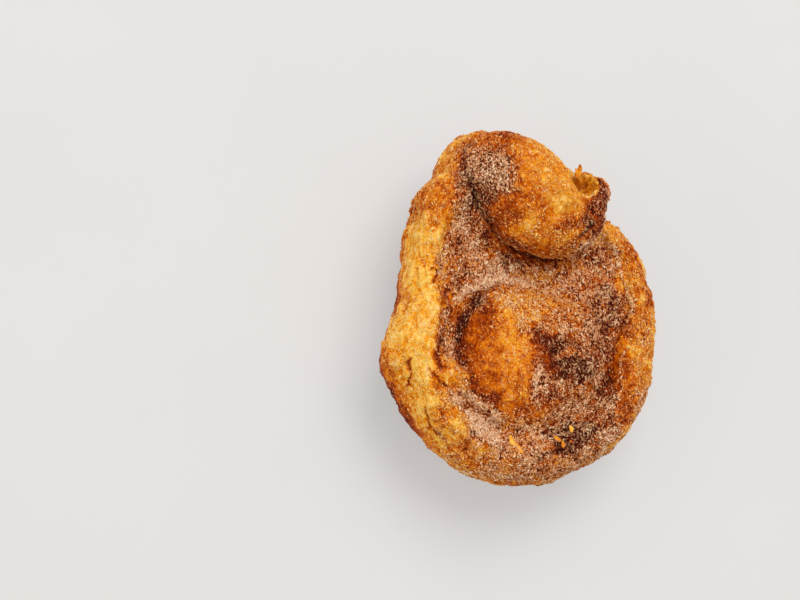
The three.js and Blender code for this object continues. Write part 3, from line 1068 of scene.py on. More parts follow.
# How much of each kind of relief each part has.
KNOBBLY = {"band": 1.0, "wall": 1.0, "fold": 0.4, "heart": 0.3}
CRINKLED = {"band": 1.0, "wall": 0.5, "fold": 0.5}
LAYERED = {"band": 0.8, "wall": 0.8, "fold": 0.7}
SPLIT = {"band": 0.22, "wall": 0.35, "fold": 0.15}
# Crinkles: their height in millimetres, and the size of their noise at which they neither rise nor sink.
CRINKLE_HEIGHT = 0.72
CRINKLE_MIDDLE = 0.3
# Splits: the size and the seed of the pattern that they follow, their width in it, and how much they are
# darkened as painted shade.
SPLIT_SIZE = 2.6
SPLIT_SEED = 14
SPLIT_WIDTH = 0.08
SPLIT_PAINTED_SHADE = 0.7
# Crumbs of sugar stand this high on bare crust, as a share, and this much higher where sugar is thick.
BARE_CRUMBS = 0.3
SUGAR_CRUMBS = 0.7
# The share of the knobs that counts as fine relief, and how far each mark pushes the surface in or out.
FINE_KNOBS = 0.6
MARK_PUSH = {"pressed": -0.7, "crease": -0.5, "groove": -1.1, "edge": 0.8}
# How soft the edges of the painted knobs are, and over what heights they and all relief begin.
KNOB_SOFTNESS = 0.8
KNOB_HEIGHTS = (12.0, 20.0)
RELIEF_HEIGHTS = (0.4, 4.0)

# Softening where dough runs into dough: how many rounds, how strong it is, how much stronger it is in the
# valley and where that is, and over what heights it begins.
SOFT_ROUNDS = 14
SOFT_DOUGH = 0.15
SOFT_VALLEY = 0.5
SOFT_PLACE = ((8.0, 6.0), (22.0, 16.0), 20.0)
SOFT_HEIGHTS = (0.3, 3.0)
# Crests of the fine relief are painted paler and its hollows browner, as painted light and shade, less so on
# some parts. Then how much the crease counts with the splits to the material, which darkens both as painted
# shade, and how much the fine relief is stretched for the crests, on which the material paints highlights.
CREST_PAINTED_LIGHT = 0.3
CREST_PAINTED_LIGHT_LESS = {"valley": 0.6, "fold": 0.5, "band": 0.2}
CREASE_SPLIT = 0.3
CREST_SCALE = 2.0


def wrap_place(points, on_fold, on_heart):
    """A place in which a random pattern runs along the wrap of the dough: the way round the cup is
    measured on a small circle, so it's stretched there, and the way across it is kept. On the fold the
    stretched way is its long axis, and on the heart it runs round its middle."""
    angle = np.arctan2(points[:, 1], points[:, 0])
    across = outline_share(points) * BULGE_RADIUS - points[:, 2]
    cup = np.stack([WRAP_CIRCLE * np.cos(angle), WRAP_CIRCLE * np.sin(angle), across], -1)
    fold_centre, _, fold_turn, _ = LUMPS["fold"]
    fold = (points - np.array(fold_centre)) @ turning(fold_turn)
    fold *= np.array([1.0 / WRAP_STRETCH, 1.0, 1.0])
    from_heart = points - np.array(LUMPS["heart"][0])
    around = np.arctan2(from_heart[:, 1], from_heart[:, 0])
    reach = np.hypot(from_heart[:, 0], from_heart[:, 1])
    heart = np.stack([HEART_CIRCLE * np.cos(around), HEART_CIRCLE * np.sin(around), reach], -1)
    return mix(mix(cup, fold, on_fold[:, None]), heart, on_heart[:, None])


def joined(base, additions, cut):
    """The base with the additions joined on and the cut taken away, rebuilt as one even skin of quads."""
    steps = [(part, "UNION") for part in additions] + [(cut, "DIFFERENCE")]
    for part, operation in steps:
        boolean = base.modifiers.new(part.name, "BOOLEAN")
        boolean.solver = "EXACT"
        boolean.operation = operation
        boolean.object = part
    skin = base.modifiers.new("skin", "REMESH")
    skin.mode = "VOXEL"
    skin.voxel_size = SKIN_CELL * MM
    skin.adaptivity = 0.0
    shown = base.evaluated_get(bpy.context.evaluated_depsgraph_get())
    mesh = bpy.data.meshes.new_from_object(shown)
    for piece in [base, cut] + additions:
        bpy.data.objects.remove(piece)
    return mesh


def relief(points, at):
    """How far each point is pushed out along its normal, in millimetres, the fine part of that, how dark it is
    painted as shade in the splits, and its place for patterns that run along the wrap. A crinkle is a middle
    value less the size of its noise, and the splits are bell(noise, width), 1 where the noise crosses zero."""
    wrap = wrap_place(points, at["fold"], at["heart"])
    bent = points + swerve(points, *CRINKLE_SWERVE)
    knobs = random_field(points, "knobs") * weighted(at, KNOBBLY)
    crinkles = CRINKLE_HEIGHT * (CRINKLE_MIDDLE - np.abs(random_field(bent, "crinkles")))
    splits = bell(noise(wrap, SPLIT_SIZE, SPLIT_SEED), SPLIT_WIDTH) * weighted(at, SPLIT)
    fine = FINE_KNOBS * knobs + random_field(points, "wrinkles") - splits
    fine += crinkles * weighted(at, CRINKLED) + random_field(wrap, "layers") * weighted(at, LAYERED)
    push = random_field(points, "lumps") + (1.0 - FINE_KNOBS) * knobs + fine
    push += random_field(points, "crumbs") * (BARE_CRUMBS + SUGAR_CRUMBS * at["sugar"])
    push += random_field(points, "bubbles") * at["torn"]
    push += random_field(points, "broken_ledge") * at["ledge"]
    push += weighted(at, MARK_PUSH)
    upper = smoothstep(*KNOB_HEIGHTS, points[:, 2])
    for centre, half, turn, height in KNOBS:
        push += height * upper * patch(at["seen"], centre, half, turn, KNOB_SOFTNESS)
    return push * smoothstep(*RELIEF_HEIGHTS, points[:, 2]), fine, SPLIT_PAINTED_SHADE * splits, wrap


def make_dough():
    """The whole bun: cup, heart, fold and ledge joined into one skin, softened where dough runs into dough,
    then pushed out and in along its normals by the relief."""
    base = closed_shell("cup", cup_rings())
    additions = [closed_shell(name, lump_rings(*lump)) for name, lump in LUMPS.items()]
    mesh = joined(base, additions, closed_shell("hollow", lump_rings(*TORN_HOLLOW)))
    points = points_of(mesh)
    at = crust_fields(points)
    soft = SOFT_DOUGH + SOFT_VALLEY * patch(at["seen"], *SOFT_PLACE)
    points = relax(points, edges_of(mesh), SOFT_ROUNDS, soft * smoothstep(*SOFT_HEIGHTS, points[:, 2]))
    set_points(mesh, points)
    push, fine, split_shade, wrap = relief(points, at)
    # Painted light and shade on the relief: crests of the fine relief made paler and its hollows browner.
    paler = CREST_PAINTED_LIGHT * fine * (1.0 - weighted(at, CREST_PAINTED_LIGHT_LESS))
    at["brown"] = np.clip(at["brown"] - paler, 0.0, 1.0)
    points = points + normals_of(mesh) * push[:, None]
    points[:, 2] = np.maximum(points[:, 2], 0.0)
    set_points(mesh, points)
    shade_smooth(mesh)
    stored = {
        "brown": at["brown"],
        "sugar": at["sugar"],
        "torn": at["torn"],
        # How dark the splits and the crease are painted as shade.
        "split_shade": np.maximum(split_shade, CREASE_SPLIT * at["crease"]),
        # The crests, on which the material paints highlights.
        "crest": np.clip(CREST_SCALE * fine, -1.0, 1.0),
        "cracked": at["cracked"],
        "crack_side": at["crack_side"] * MM,
        "wrap": wrap * MM,
    }
    for name, values in stored.items():
        store(mesh, name, values)
    mesh.name = "dough"
    return linked("dough", mesh), at


# ------------------------------------------------------------------------------------------------
# Loose sugar
# ------------------------------------------------------------------------------------------------
# A crystal's corners and faces, and those of a speck.
CRYSTAL = (
    np.array([(x, y, z) for x in (-0.5, 0.5) for y in (-0.5, 0.5) for z in (-0.5, 0.5)]),
    np.array([(0, 1, 3, 2), (4, 6, 7, 5), (0, 4, 5, 1), (2, 3, 7, 6), (0, 2, 6, 4), (1, 5, 7, 3)]),
)
SPECK = (
    np.array([(0.5, 0, 0), (-0.5, 0, 0), (0, 0.5, 0), (0, -0.5, 0), (0, 0, 0.5), (0, 0, -0.5)]),
    np.array([(0, 2, 4), (2, 1, 4), (1, 3, 4), (3, 0, 4), (2, 0, 5), (1, 2, 5), (3, 1, 5), (0, 3, 5)]),
)
# Crystals are longer than wide: their sides against their size, how far they tip out of the surface and how
# far they swerve from the length of the bun. Their sides and corners vary by a share, the power makes small
# ones the most common, and they lie sunk by a share of their size.
CRYSTAL_SIDES = np.array([0.7, 1.7, 0.6])
CRYSTAL_TIP = 0.25
CRYSTAL_SWERVE = 0.9
SIDES_VARY = 0.3
CORNERS_VARY = 0.16
SMALL_ONES = 2.2
SUNK = 0.12
# Loose sugar lies on what looks up, by height, and less so lower down, down to the foot.
UPPER_HEIGHTS = (24.0, 32.0)
LOWER_SHARE = 0.3
LOOSE_HEIGHTS = (0.5, 3.0)
LOOSE_CLUMPS = (-0.5, 0.5)
# How much of it lies between the clumps, of thick and of loose sugar. Then how much of the glints lies on the
# palest crust, how much of the loose on bare crust, how much of it is missing from torn crumb, and the power
# that gathers fine sugar where it's thickest.
THICK_BETWEEN = 0.15
LOOSE_BETWEEN = 0.3
GLINTS_ON_PALE = 0.3
LOOSE_ON_BARE = 0.2
LOOSE_TORN_LOSS = 0.8
FINE_GATHERS = 1.6


def surface_samples(piece, chance, count, rng):
    """Random places on a mesh, drawn in proportion to area times the chance at each face: the points, the
    normals there, and the three corner indices and weights that any field is read with."""
    mesh = piece.data
    mesh.calc_loop_triangles()
    corners = np.empty(len(mesh.loop_triangles) * 3, np.int32)
    mesh.loop_triangles.foreach_get("vertices", corners)
    corners = corners.reshape(-1, 3)
    points = points_of(mesh)
    a, b, c = (points[corners[:, k]] for k in range(3))
    area = 0.5 * np.linalg.norm(np.cross(b - a, c - a), axis=1)
    weight = area * chance[corners].mean(1)
    chosen = corners[rng.choice(len(corners), count, p=weight / weight.sum())]
    first, second = np.sqrt(rng.random(count)), rng.random(count)
    shares = np.stack([1.0 - first, first * (1.0 - second), first * second], -1)
    places = (points[chosen] * shares[..., None]).sum(1)
    out = (normals_of(mesh)[chosen] * shares[..., None]).sum(1)
    return places, out / np.linalg.norm(out, axis=1, keepdims=True), chosen, shares


def lying_turns(out, rng):
    """Rotation matrices that lay the second side of a solid on the surface, roughly along the bun: that side
    points at a random angle round the normal, itself tipped a little, and the others at right angles."""
    tipped = out + rng.normal(0.0, CRYSTAL_TIP, out.shape)
    tipped /= np.linalg.norm(tipped, axis=1, keepdims=True)
    angle = rng.normal(0.0, CRYSTAL_SWERVE, len(out))
    across = np.cross(np.stack([np.sin(angle), np.cos(angle), np.zeros(len(out))], -1), tipped)
    across /= np.linalg.norm(across, axis=1, keepdims=True)
    return np.stack([across, np.cross(tipped, across), tipped], -1)


def scatter(name, dough, chance, count, shape, sizes, seed):
    """One mesh of many small solids of one kind on the dough: the shape's corners, each set with its own
    size between the two sizes and its own stretch, lie on the surface, a little sunk. Keeps the brownness and
    the sugar under each, and a random tint of its own."""
    corners, faces = shape
    rng = np.random.default_rng(seed)
    places, out, chosen, shares = surface_samples(dough, chance, count, rng)
    size = mix(*sizes, rng.random(count) ** SMALL_ONES)
    stretch = 1.0 + rng.uniform(-SIDES_VARY, SIDES_VARY, (count, 1, 3))
    jitter = 1.0 + rng.uniform(-CORNERS_VARY, CORNERS_VARY, (count, len(corners), 3))
    local = corners[None] * CRYSTAL_SIDES * stretch * jitter * size[:, None, None]
    turned = np.einsum("nij,nkj->nki", lying_turns(out, rng), local)
    centres = places + out * (size * (0.5 * CRYSTAL_SIDES[2] - SUNK))[:, None]
    vertices = (turned + centres[:, None]).reshape(-1, 3)
    vertices[:, 2] = np.maximum(vertices[:, 2], 0.0)
    starts = np.arange(count) * len(corners)
    piece = make_object(name, vertices, (faces[None] + starts[:, None, None]).reshape(-1, faces.shape[1]))
    for field in ("brown", "sugar"):
        under = np.empty(len(dough.data.vertices), np.float32)
        dough.data.attributes[field].data.foreach_get("value", under)
        store(piece.data, field, np.repeat((under[chosen] * shares).sum(1), len(corners)))
    store(piece.data, "tint", np.repeat(rng.random(count), len(corners)))
    return piece


def sugar_chances(dough, at):
    """How likely each kind of loose sugar is to lie at each point of the dough: glints where it's thick,
    brown or coarse, loose crystals over all that isn't torn, and fine ones where it's thickest."""
    points = points_of(dough.data)
    height = points[:, 2]
    upward = mix(LOWER_SHARE, 1.0, smoothstep(*UPPER_HEIGHTS, height)) * smoothstep(*LOOSE_HEIGHTS, height)
    clumped = smoothstep(*LOOSE_CLUMPS, random_field(points, "loose_clumps"))
    coarse = painted(at["seen"], np.zeros(len(points)), COARSE_PATCHES)
    sugar = at["sugar"] * upward * (THICK_BETWEEN + clumped)
    loose = (LOOSE_ON_BARE + at["sugar"]) * upward * (LOOSE_BETWEEN + clumped)
    return {
        "sugar_glints": sugar * (GLINTS_ON_PALE + at["brown"] + coarse),
        "sugar_loose": loose * (1.0 - LOOSE_TORN_LOSS * at["torn"]),
        "sugar_fine": sugar ** FINE_GATHERS,
    }


# ------------------------------------------------------------------------------------------------
# Flakes of crust
# ------------------------------------------------------------------------------------------------
# Each flake: middle, way it points and its tilt in degrees, length, width, how much it curls up, and its
# brownness. A middle without a height lies on the dough, lifted by so many thicknesses.
FLAKES = [
    ((-6.4, -36.2), -60, 10, 6.8, 1.7, 0.06, 0.2),
    ((6.9, -34.6), -50, 8, 2.6, 1.1, 0.12, 0.26),
    ((8.2, -36.4), -95, 0, 2.0, 1.0, 0.1, 0.28),
    ((11.8, -31.4), -80, 12, 2.4, 1.3, 0.08, 0.1),
    ((10.9, -35.6), 20, 0, 1.1, 0.8, 0.1, 0.5),
    ((14.2, 45.6, 49.6), 98, 24, 2.4, 0.8, -0.1, 0.3),
    ((14.9, 46.0, 49.8), 74, 32, 4.4, 1.4, 0.14, 0.34),
    ((15.6, 45.6, 49.6), 62, 26, 2.4, 0.8, 0.2, 0.26),
]
FLAKE_THICKNESS = 0.4
FLAKE_LIFT = 1.5
# The dough under it within this share of its length counts for that.
FLAKE_REACH = 0.4
FLAKE_ROWS = 16
FLAKE_COLUMNS = 12
# How far along its half length the last ring is, how it narrows towards that, how it twists, how torn its
# sides are and at what size, and how far it swerves.
FLAKE_END = 0.98
FLAKE_NARROWING = 0.4
FLAKE_TWIST = 0.3
FLAKE_TORN = 0.6
FLAKE_TORN_SIZE = 0.9
FLAKE_SWERVE = 0.2
FLAKE_SEED = 200
# How much a flake's brownness varies, at what size and with which seed.
FLAKE_MOTTLING = 0.12
FLAKE_MOTTLING_SIZE = 0.8
FLAKE_MOTTLING_SEED = 5


def flake_rings(middle, heading, tilt, length, width, curl, seed):
    """An oval of the flake's width and thickness, carried along its length t from -1 to 1 and narrowed by
    (1 - t^2) to a power, with torn sides that swerve by a sine of t. The path rises by curl * length * t^2,
    is tilted up and turned about Z."""
    t = np.linspace(-FLAKE_END, FLAKE_END, FLAKE_ROWS)[:, None]
    around = np.linspace(0.0, 2.0 * np.pi, FLAKE_COLUMNS, endpoint=False)[None, :]
    narrow = (1.0 - t * t) ** FLAKE_NARROWING
    along = 0.5 * length * t * np.ones_like(around)
    across = 0.5 * width * narrow * np.cos(around)
    up = 0.5 * FLAKE_THICKNESS * narrow * np.sin(around) + curl * length * t * t + FLAKE_TWIST * across * t
    flat = np.stack([along, across, up], -1)
    torn = rough(flat.reshape(-1, 3), FLAKE_TORN_SIZE, seed, 2).reshape(across.shape)
    flat[..., 1] *= 1.0 + FLAKE_TORN * torn
    flat[..., 1] += FLAKE_SWERVE * width * np.sin(2.0 * t + seed)
    cos, sin = math.cos(math.radians(tilt)), math.sin(math.radians(tilt))
    tipped = np.array([[cos, 0.0, -sin], [0.0, 1.0, 0.0], [sin, 0.0, cos]])
    return flat @ (turning(heading) @ tipped).T + np.array(middle)


def on_dough(points, middle, length):
    """The middle with the height at which a flake of that length lies on the dough there: the mean height
    within its reach, lifted."""
    close = np.hypot(*(points[:, :2] - np.array(middle)).T) < FLAKE_REACH * length
    heights = points[close & (points[:, 2] > BULGE_HEIGHT), 2]
    return (*middle, heights.mean() + FLAKE_LIFT * FLAKE_THICKNESS)


def make_flakes(dough):
    """The loose flakes and the torn shreds, one mesh, each with its own brownness."""
    points = points_of(dough.data)
    shells, brown = [], []
    for number, (middle, heading, tilt, length, width, curl, shade) in enumerate(FLAKES):
        if len(middle) == 2:
            middle = on_dough(points, middle, length)
        shells.append(flake_rings(middle, heading, tilt, length, width, curl, FLAKE_SEED + number))
        brown.append(np.full(FLAKE_ROWS * FLAKE_COLUMNS + 2, shade))
    piece = closed_shell("crust_flakes", *shells)
    mottling = noise(points_of(piece.data), FLAKE_MOTTLING_SIZE, FLAKE_MOTTLING_SEED)
    store(piece.data, "brown", np.clip(np.concatenate(brown) + FLAKE_MOTTLING * mottling, 0.0, 1.0))
    shade_smooth(piece.data)
    return piece


# ------------------------------------------------------------------------------------------------
# Materials
# ------------------------------------------------------------------------------------------------
def srgb(red, green, blue):
    """A colour given as 0 to 255 screen values, as the linear values that shaders take."""
    screen = np.array([red, green, blue]) / 255.0
    linear = np.where(screen <= 0.04045, screen / 12.92, ((screen + 0.055) / 1.055) ** 2.4)
    return (*linear, 1.0)


# Ramps: places from 0 to 1 and their colours. Crust by brownness, the coat by how much sugar there is, torn
# crumb by its pattern, and the floor by its own.
CRUST_COLOURS = [
    (0.00, srgb(255, 202, 88)),
    (0.20, srgb(242, 158, 26)),
    (0.40, srgb(214, 106, 4)),
    (0.60, srgb(164, 64, 2)),
    (0.80, srgb(108, 32, 6)),
    (1.00, srgb(62, 16, 8)),
]
COAT_COLOURS = [
    (0.30, srgb(92, 36, 10)),
    (0.50, srgb(156, 86, 42)),
    (0.72, srgb(206, 144, 98)),
    (0.95, srgb(230, 190, 158)),
]
CRUMB_COLOURS = [
    (0.10, srgb(156, 74, 6)),
    (0.30, srgb(208, 126, 16)),
    (0.48, srgb(240, 170, 56)),
    (0.68, srgb(252, 208, 118)),
]
FLOOR_COLOURS = [
    (0.3, srgb(153, 151, 150)),
    (0.7, srgb(156, 154, 153)),
]
FLOOR_GLOW = srgb(240, 238, 236)
CRACK_COLOUR = srgb(146, 58, 12)
# The colour of pale flecks and pale grains, and of the painted highlights on crests and crystals.
FLECK_AND_HIGHLIGHT_COLOUR = srgb(255, 230, 172)
GRAIN_COLOURS = (srgb(238, 178, 118), srgb(242, 208, 172))

# Noises, by what they are for: size in metres, detail, roughness and distortion.
NOISES = {
    "blotches": (0.005, 4.0, 0.6, 0.0),
    "grain": (0.0012, 4.0, 0.7, 0.0),
    "fibres": (0.0016, 4.0, 0.6, 0.0),
    "clumps": (0.0013, 3.0, 0.6, 0.0),
    "strokes": (0.0007, 4.0, 0.7, 0.0),
    "sponge": (0.0016, 3.0, 0.55, 0.0),
    "flecks": (0.0009, 2.0, 0.6, 0.8),
    "drifts": (0.0022, 4.0, 0.7, 0.0),
    "open_cracks": (0.0024, 3.0, 0.55, 0.0),
    "glints": (0.0004, 2.0, 0.55, 0.0),
    "flake_grain": (0.0005, 3.0, 0.55, 0.0),
    "floor": (0.06, 3.0, 0.55, 0.0),
}
# How much of the grain goes with the blotches of the crust.
GRAIN_SHARE = 1.2

# Strokes of grain: over what length they swerve, by how much the place is bent, and how much it is squeezed.
STROKE_SWERVE = 0.006
STROKE_BEND = (0.004, 0.004, 0.004)
STROKE_SQUEEZE = (1.0, 0.42, 1.0)

# Grains of sugar dust: their size in metres, and how near a cell's middle they begin and are whole. How
# densely they lie on bare crust, how much more so with sugar, and how much more so in clumps. How much they
# show on bare crust and how much more with sugar, over what range of their tint, and over what range of
# drifting sugar they go from the first to the second of their colours.
GRAIN_SIZE = 0.00042
GRAIN_EDGE = (0.35, 0.6)
GRAIN_DENSITY = (0.28, 0.62)
GRAIN_CLUMPS = 0.9
GRAIN_SHOWS = (0.05, 0.84)
GRAIN_TINTS = (0.2, 0.8)
GRAIN_PALES = (1.0, 1.7)

# Over this range of sugar the crust goes from bare to coated. Then how strongly the low parts of the strokes,
# which are also the hollows of the bumps, darken bare crust and coated crust, partly as painted shade; the
# same for the painted shade in the gaps between grains, which lie below a level; how much the painted shade of
# the splits and the crease darkens it; and how mottled and streaked it is.
COATED = (0.1, 0.7)
STROKES_DARKEN = (0.68, 1.22)
GAP_PAINTED_SHADE = (0.16, 0.65)
GAP_LEVEL = 0.45
SPLIT_SHADE_STRENGTH = 0.42
DOUGH_CRUST = {"Mottling": 0.7, "Streaks": 0.4}
# Torn crumb: how far brownness, which holds the painted shade deep in the hollow, moves it down its ramp, and
# over what range of torn it takes over.
CRUMB_BROWN = -0.45
CRUMB_SHOWS = (0.2, 0.8)
# Pale flecks, partly pale sugar flecks and, where crests add to their pattern, painted highlights: how much
# crests add to their pattern, where in it they begin and are whole, over what ranges of sugar and of brownness
# they go, and how much they show on the palest crust.
CREST_HIGHLIGHTS = 0.09
FLECK_EDGE = (0.52, 0.66)
FLECKS_GO_WITH_SUGAR = (0.1, 0.5)
FLECKS_GO_WITH_BROWN = (0.1, 0.5)
FLECKS_SHOW = 0.55
# The cinnamon stain: how much its drifts add to the sugar, over what range of that it comes and how much it
# covers at most, over what range of the strokes it thickens, and how much of it there is before that.
DRIFTING = 1.1
STAIN_COMES = (0.85, 2.0)
STAIN_COVERS = 0.85
STAIN_STROKES = (0.35, 0.58)
STAIN_THINNEST = 0.45
# Its shade, a place on its ramp: the shares of the sugar and the strokes in it, less a level.
COAT_SUGAR = 0.36
COAT_STROKES = 1.5
COAT_LEVEL = 0.5
# Cracks: how far they fray and how wide they are, in metres, how much their pattern adds to how cracked the
# place is, over what range of that they open, and how dark they are.
CRACK_FRAY = 0.0009
CRACK_WIDTH = (0.00012, 0.00032)
CRACK_PATTERN = 0.8
CRACK_OPENS = (0.8, 1.1)
CRACK_DARKNESS = 0.7
# The surface: roughness of pale and of burnt crust and over what range of brownness it goes from one to the
# other, how much rougher the stain is, how much the grains and cracks add to the height of the strokes, and
# how strong and, in metres, how high the bumps are.
CRUST_ROUGHNESS = (0.42, 0.55)
PALE_TO_BURNT = (0.1, 0.9)
STAIN_ROUGHER = 0.3
GRAIN_HEIGHT = 0.7
CRACK_SINKS = -0.4
CRUST_BUMPS = (0.9, 0.00042)

# Crystals: how much lighter the crust shows in them, partly as a painted glint, and how mottled. The shares of
# sugar and tint in their own shade, less a level, and over what range of sugar they take it. Over what range
# of tint the crust in them is mixed towards a pale colour, partly as a painted glint, and how much. Between
# what shares of its roughness a crystal varies, and its bumps.
CRYSTAL_LIGHTER = 0.3
CRYSTAL_MOTTLING = 0.1
CRYSTAL_SUGAR = 0.55
CRYSTAL_TINT = 0.6
CRYSTAL_LEVEL = 0.1
CRYSTAL_OWN = (0.1, 0.6)
CRYSTAL_LIT = (0.5, 1.0)
CRYSTAL_LIGHT = 0.3
CRYSTAL_ROUGHNESS = (0.6, 1.5)
CRYSTAL_BUMPS = (0.15, 0.0001)
# Flakes: how mottled and streaked they are, where in their pattern pale grains begin and are whole, how much
# those show, and their roughness and bumps.
FLAKE_CRUST = {"Mottling": 0.5, "Streaks": 0.3}
FLAKE_GRAINS = (0.5, 0.7)
FLAKE_GRAINS_SHOW = 0.15
FLAKE_ROUGHNESS = (0.35, 0.6)
FLAKE_BUMPS = (0.5, 0.0002)
# The middle of a noise, over which roughness goes from one value to another.
NOISE_MIDDLE = (0.3, 0.7)


def new_material(name):
    """A material with an empty Principled surface, its node tree, and that shader."""
    material = bpy.data.materials.new(name)
    material.use_nodes = True
    tree = material.node_tree
    return material, tree, tree.nodes["Principled BSDF"]


def node(tree, kind, inputs=(), **settings):
    """Adds a node, sets its settings, and links or sets its inputs by name or number."""
    made = tree.nodes.new(kind)
    for key, value in settings.items():
        setattr(made, key, value)
    for key, value in dict(inputs).items():
        connect(tree, value, made.inputs[key])
    return made


def connect(tree, source, target):
    """Links an output socket to an input, or sets the input's own value."""
    if isinstance(source, bpy.types.NodeSocket):
        tree.links.new(source, target)
    else:
        target.default_value = source


def maths(tree, operation, first, second=0.0, third=0.0, clamp=False):
    """The result of a Math node."""
    made = node(tree, "ShaderNodeMath", {0: first, 1: second, 2: third}, operation=operation, use_clamp=clamp)
    return made.outputs[0]


def product(tree, first, second):
    """One value times another."""
    return maths(tree, "MULTIPLY", first, second)


def added(tree, value, times, to, clamp=False):
    """A value times another, added to a third."""
    return maths(tree, "MULTIPLY_ADD", value, times, to, clamp)


def less(tree, value, level):
    """A value less a level."""
    return maths(tree, "SUBTRACT", value, level)


def blended(tree, share, first, second):
    """The first colour where the share is 0, the second where it is 1."""
    made = node(tree, "ShaderNodeMix", {"Factor": share}, data_type="RGBA")
    connect(tree, first, made.inputs[6])
    connect(tree, second, made.inputs[7])
    return made.outputs[2]


def ramped(tree, value, stops):
    """The colour of a ramp with these (position, colour) stops."""
    made = node(tree, "ShaderNodeValToRGB", {"Fac": value})
    ramp = made.color_ramp
    while len(ramp.elements) < len(stops):
        ramp.elements.new(0.5)
    for element, (position, colour) in zip(ramp.elements, stops):
        element.position = position
        element.color = colour
    return made.outputs["Color"]


def ranged(tree, value, span, to=(0.0, 1.0)):
    """The value mapped from one range to another, clamped and eased at both ends."""
    made = node(tree, "ShaderNodeMapRange",
                {"Value": value, "From Min": span[0], "From Max": span[1], "To Min": to[0], "To Max": to[1]},
                interpolation_type="SMOOTHSTEP")
    return made.outputs["Result"]


def attribute(tree, name, output="Fac"):
    """What is stored under that name for the place."""
    return node(tree, "ShaderNodeAttribute", attribute_name=name).outputs[output]


def object_place(tree):
    """The place on the piece, in metres."""
    return node(tree, "ShaderNodeTexCoord").outputs["Object"]


def stroke_place(tree, place):
    """The place, bent by a slow noise and squeezed along the bun, so that what is drawn on it comes out as
    short strokes that swerve."""
    bend = node(tree, "ShaderNodeTexNoise", {"Vector": place, "Scale": 1.0 / STROKE_SWERVE, "Detail": 1.0})
    bent = node(tree, "ShaderNodeVectorMath", {0: bend.outputs["Color"], 1: STROKE_BEND, 2: place},
                operation="MULTIPLY_ADD")
    squeezed = node(tree, "ShaderNodeVectorMath", {0: bent.outputs[0], 1: STROKE_SQUEEZE},
                    operation="MULTIPLY")
    return squeezed.outputs[0]


def noise_value(tree, place, name):
    """The noise of that name, from 0 to 1."""
    size, detail, roughness, distortion = NOISES[name]
    return node(tree, "ShaderNodeTexNoise",
                {"Vector": place, "Scale": 1.0 / size, "Detail": detail, "Roughness": roughness,
                 "Distortion": distortion}).outputs["Fac"]


def centred_noise(tree, place, name):
    """The noise of that name, from -0.5 to 0.5."""
    return less(tree, noise_value(tree, place, name), 0.5)


def bumped(tree, surface, height, strength, distance):
    """Gives the surface bumps of that height, how strong, and how high in metres."""
    bump = node(tree, "ShaderNodeBump", {"Height": height, "Strength": strength, "Distance": distance})
    connect(tree, bump.outputs["Normal"], surface.inputs["Normal"])


def new_group(name, inputs, outputs):
    """A shader node group with named sockets: (name, kind, default) in, (name, kind) out."""
    group = bpy.data.node_groups.new(name, "ShaderNodeTree")
    for title, kind, default in inputs:
        socket = group.interface.new_socket(title, in_out="INPUT", socket_type="NodeSocket" + kind)
        if default is not None:
            socket.default_value = default
    for title, kind in outputs:
        group.interface.new_socket(title, in_out="OUTPUT", socket_type="NodeSocket" + kind)
    return group, group.nodes.new("NodeGroupInput"), group.nodes.new("NodeGroupOutput")


def placed_group(tree, group, **values):
    """A group placed in a tree, with its inputs set; an underscore in a keyword stands for a space."""
    made = tree.nodes.new("ShaderNodeGroup")
    made.node_tree = group
    for key, value in values.items():
        connect(tree, value, made.inputs[key.replace("_", " ")])
    return made.outputs


def browned_crust_group():
    """Brownness to the colour of baked dough, mottled and streaked along the wrap of the layers."""
    group, into, out = new_group(
        "BrownedCrust",
        [("Brown", "Float", 0.4), ("Wrap", "Vector", None),
         ("Mottling", "Float", 0.2), ("Streaks", "Float", 0.2)],
        [("Color", "Color"), ("Brown", "Float")])
    place = object_place(group)
    blotches = centred_noise(group, place, "blotches")
    grain = centred_noise(group, place, "grain")
    fibres = centred_noise(group, into.outputs["Wrap"], "fibres")
    speckled = added(group, grain, GRAIN_SHARE, blotches)
    value = added(group, speckled, into.outputs["Mottling"], into.outputs["Brown"])
    value = added(group, fibres, into.outputs["Streaks"], value, clamp=True)
    connect(group, ramped(group, value, CRUST_COLOURS), out.inputs["Color"])
    connect(group, value, out.inputs["Brown"])
    return group


def sugar_dust_group():
    """Fine grains: cells with a random value each, which lie where that value is under the density."""
    group, into, out = new_group(
        "SugarDust",
        [("Density", "Float", 0.5), ("Grain Size", "Float", 0.0004)],
        [("Mask", "Float"), ("Tint", "Float"), ("Height", "Float")])
    place = stroke_place(group, object_place(group))
    scale = maths(group, "DIVIDE", 1.0, into.outputs["Grain Size"])
    cells = node(group, "ShaderNodeTexVoronoi", {"Vector": place, "Scale": scale, "Randomness": 1.0})
    parts = node(group, "ShaderNodeSeparateColor", {"Color": cells.outputs["Color"]})
    near = less(group, 1.0, cells.outputs["Distance"])
    lies = maths(group, "LESS_THAN", parts.outputs["Red"], into.outputs["Density"])
    connect(group, product(group, lies, ranged(group, near, GRAIN_EDGE)), out.inputs["Mask"])
    connect(group, parts.outputs["Green"], out.inputs["Tint"])
    connect(group, product(group, near, lies), out.inputs["Height"])
    return group


def laid_grains(tree, at, dust):
    """The grains of sugar dust, denser where there is sugar and in clumps."""
    bare, per_sugar = GRAIN_DENSITY
    density = added(tree, at["sugar"], per_sugar, bare)
    clumps = centred_noise(tree, at["place"], "clumps")
    density = added(tree, clumps, GRAIN_CLUMPS, density, clamp=True)
    return placed_group(tree, dust, Density=density, Grain_Size=GRAIN_SIZE)


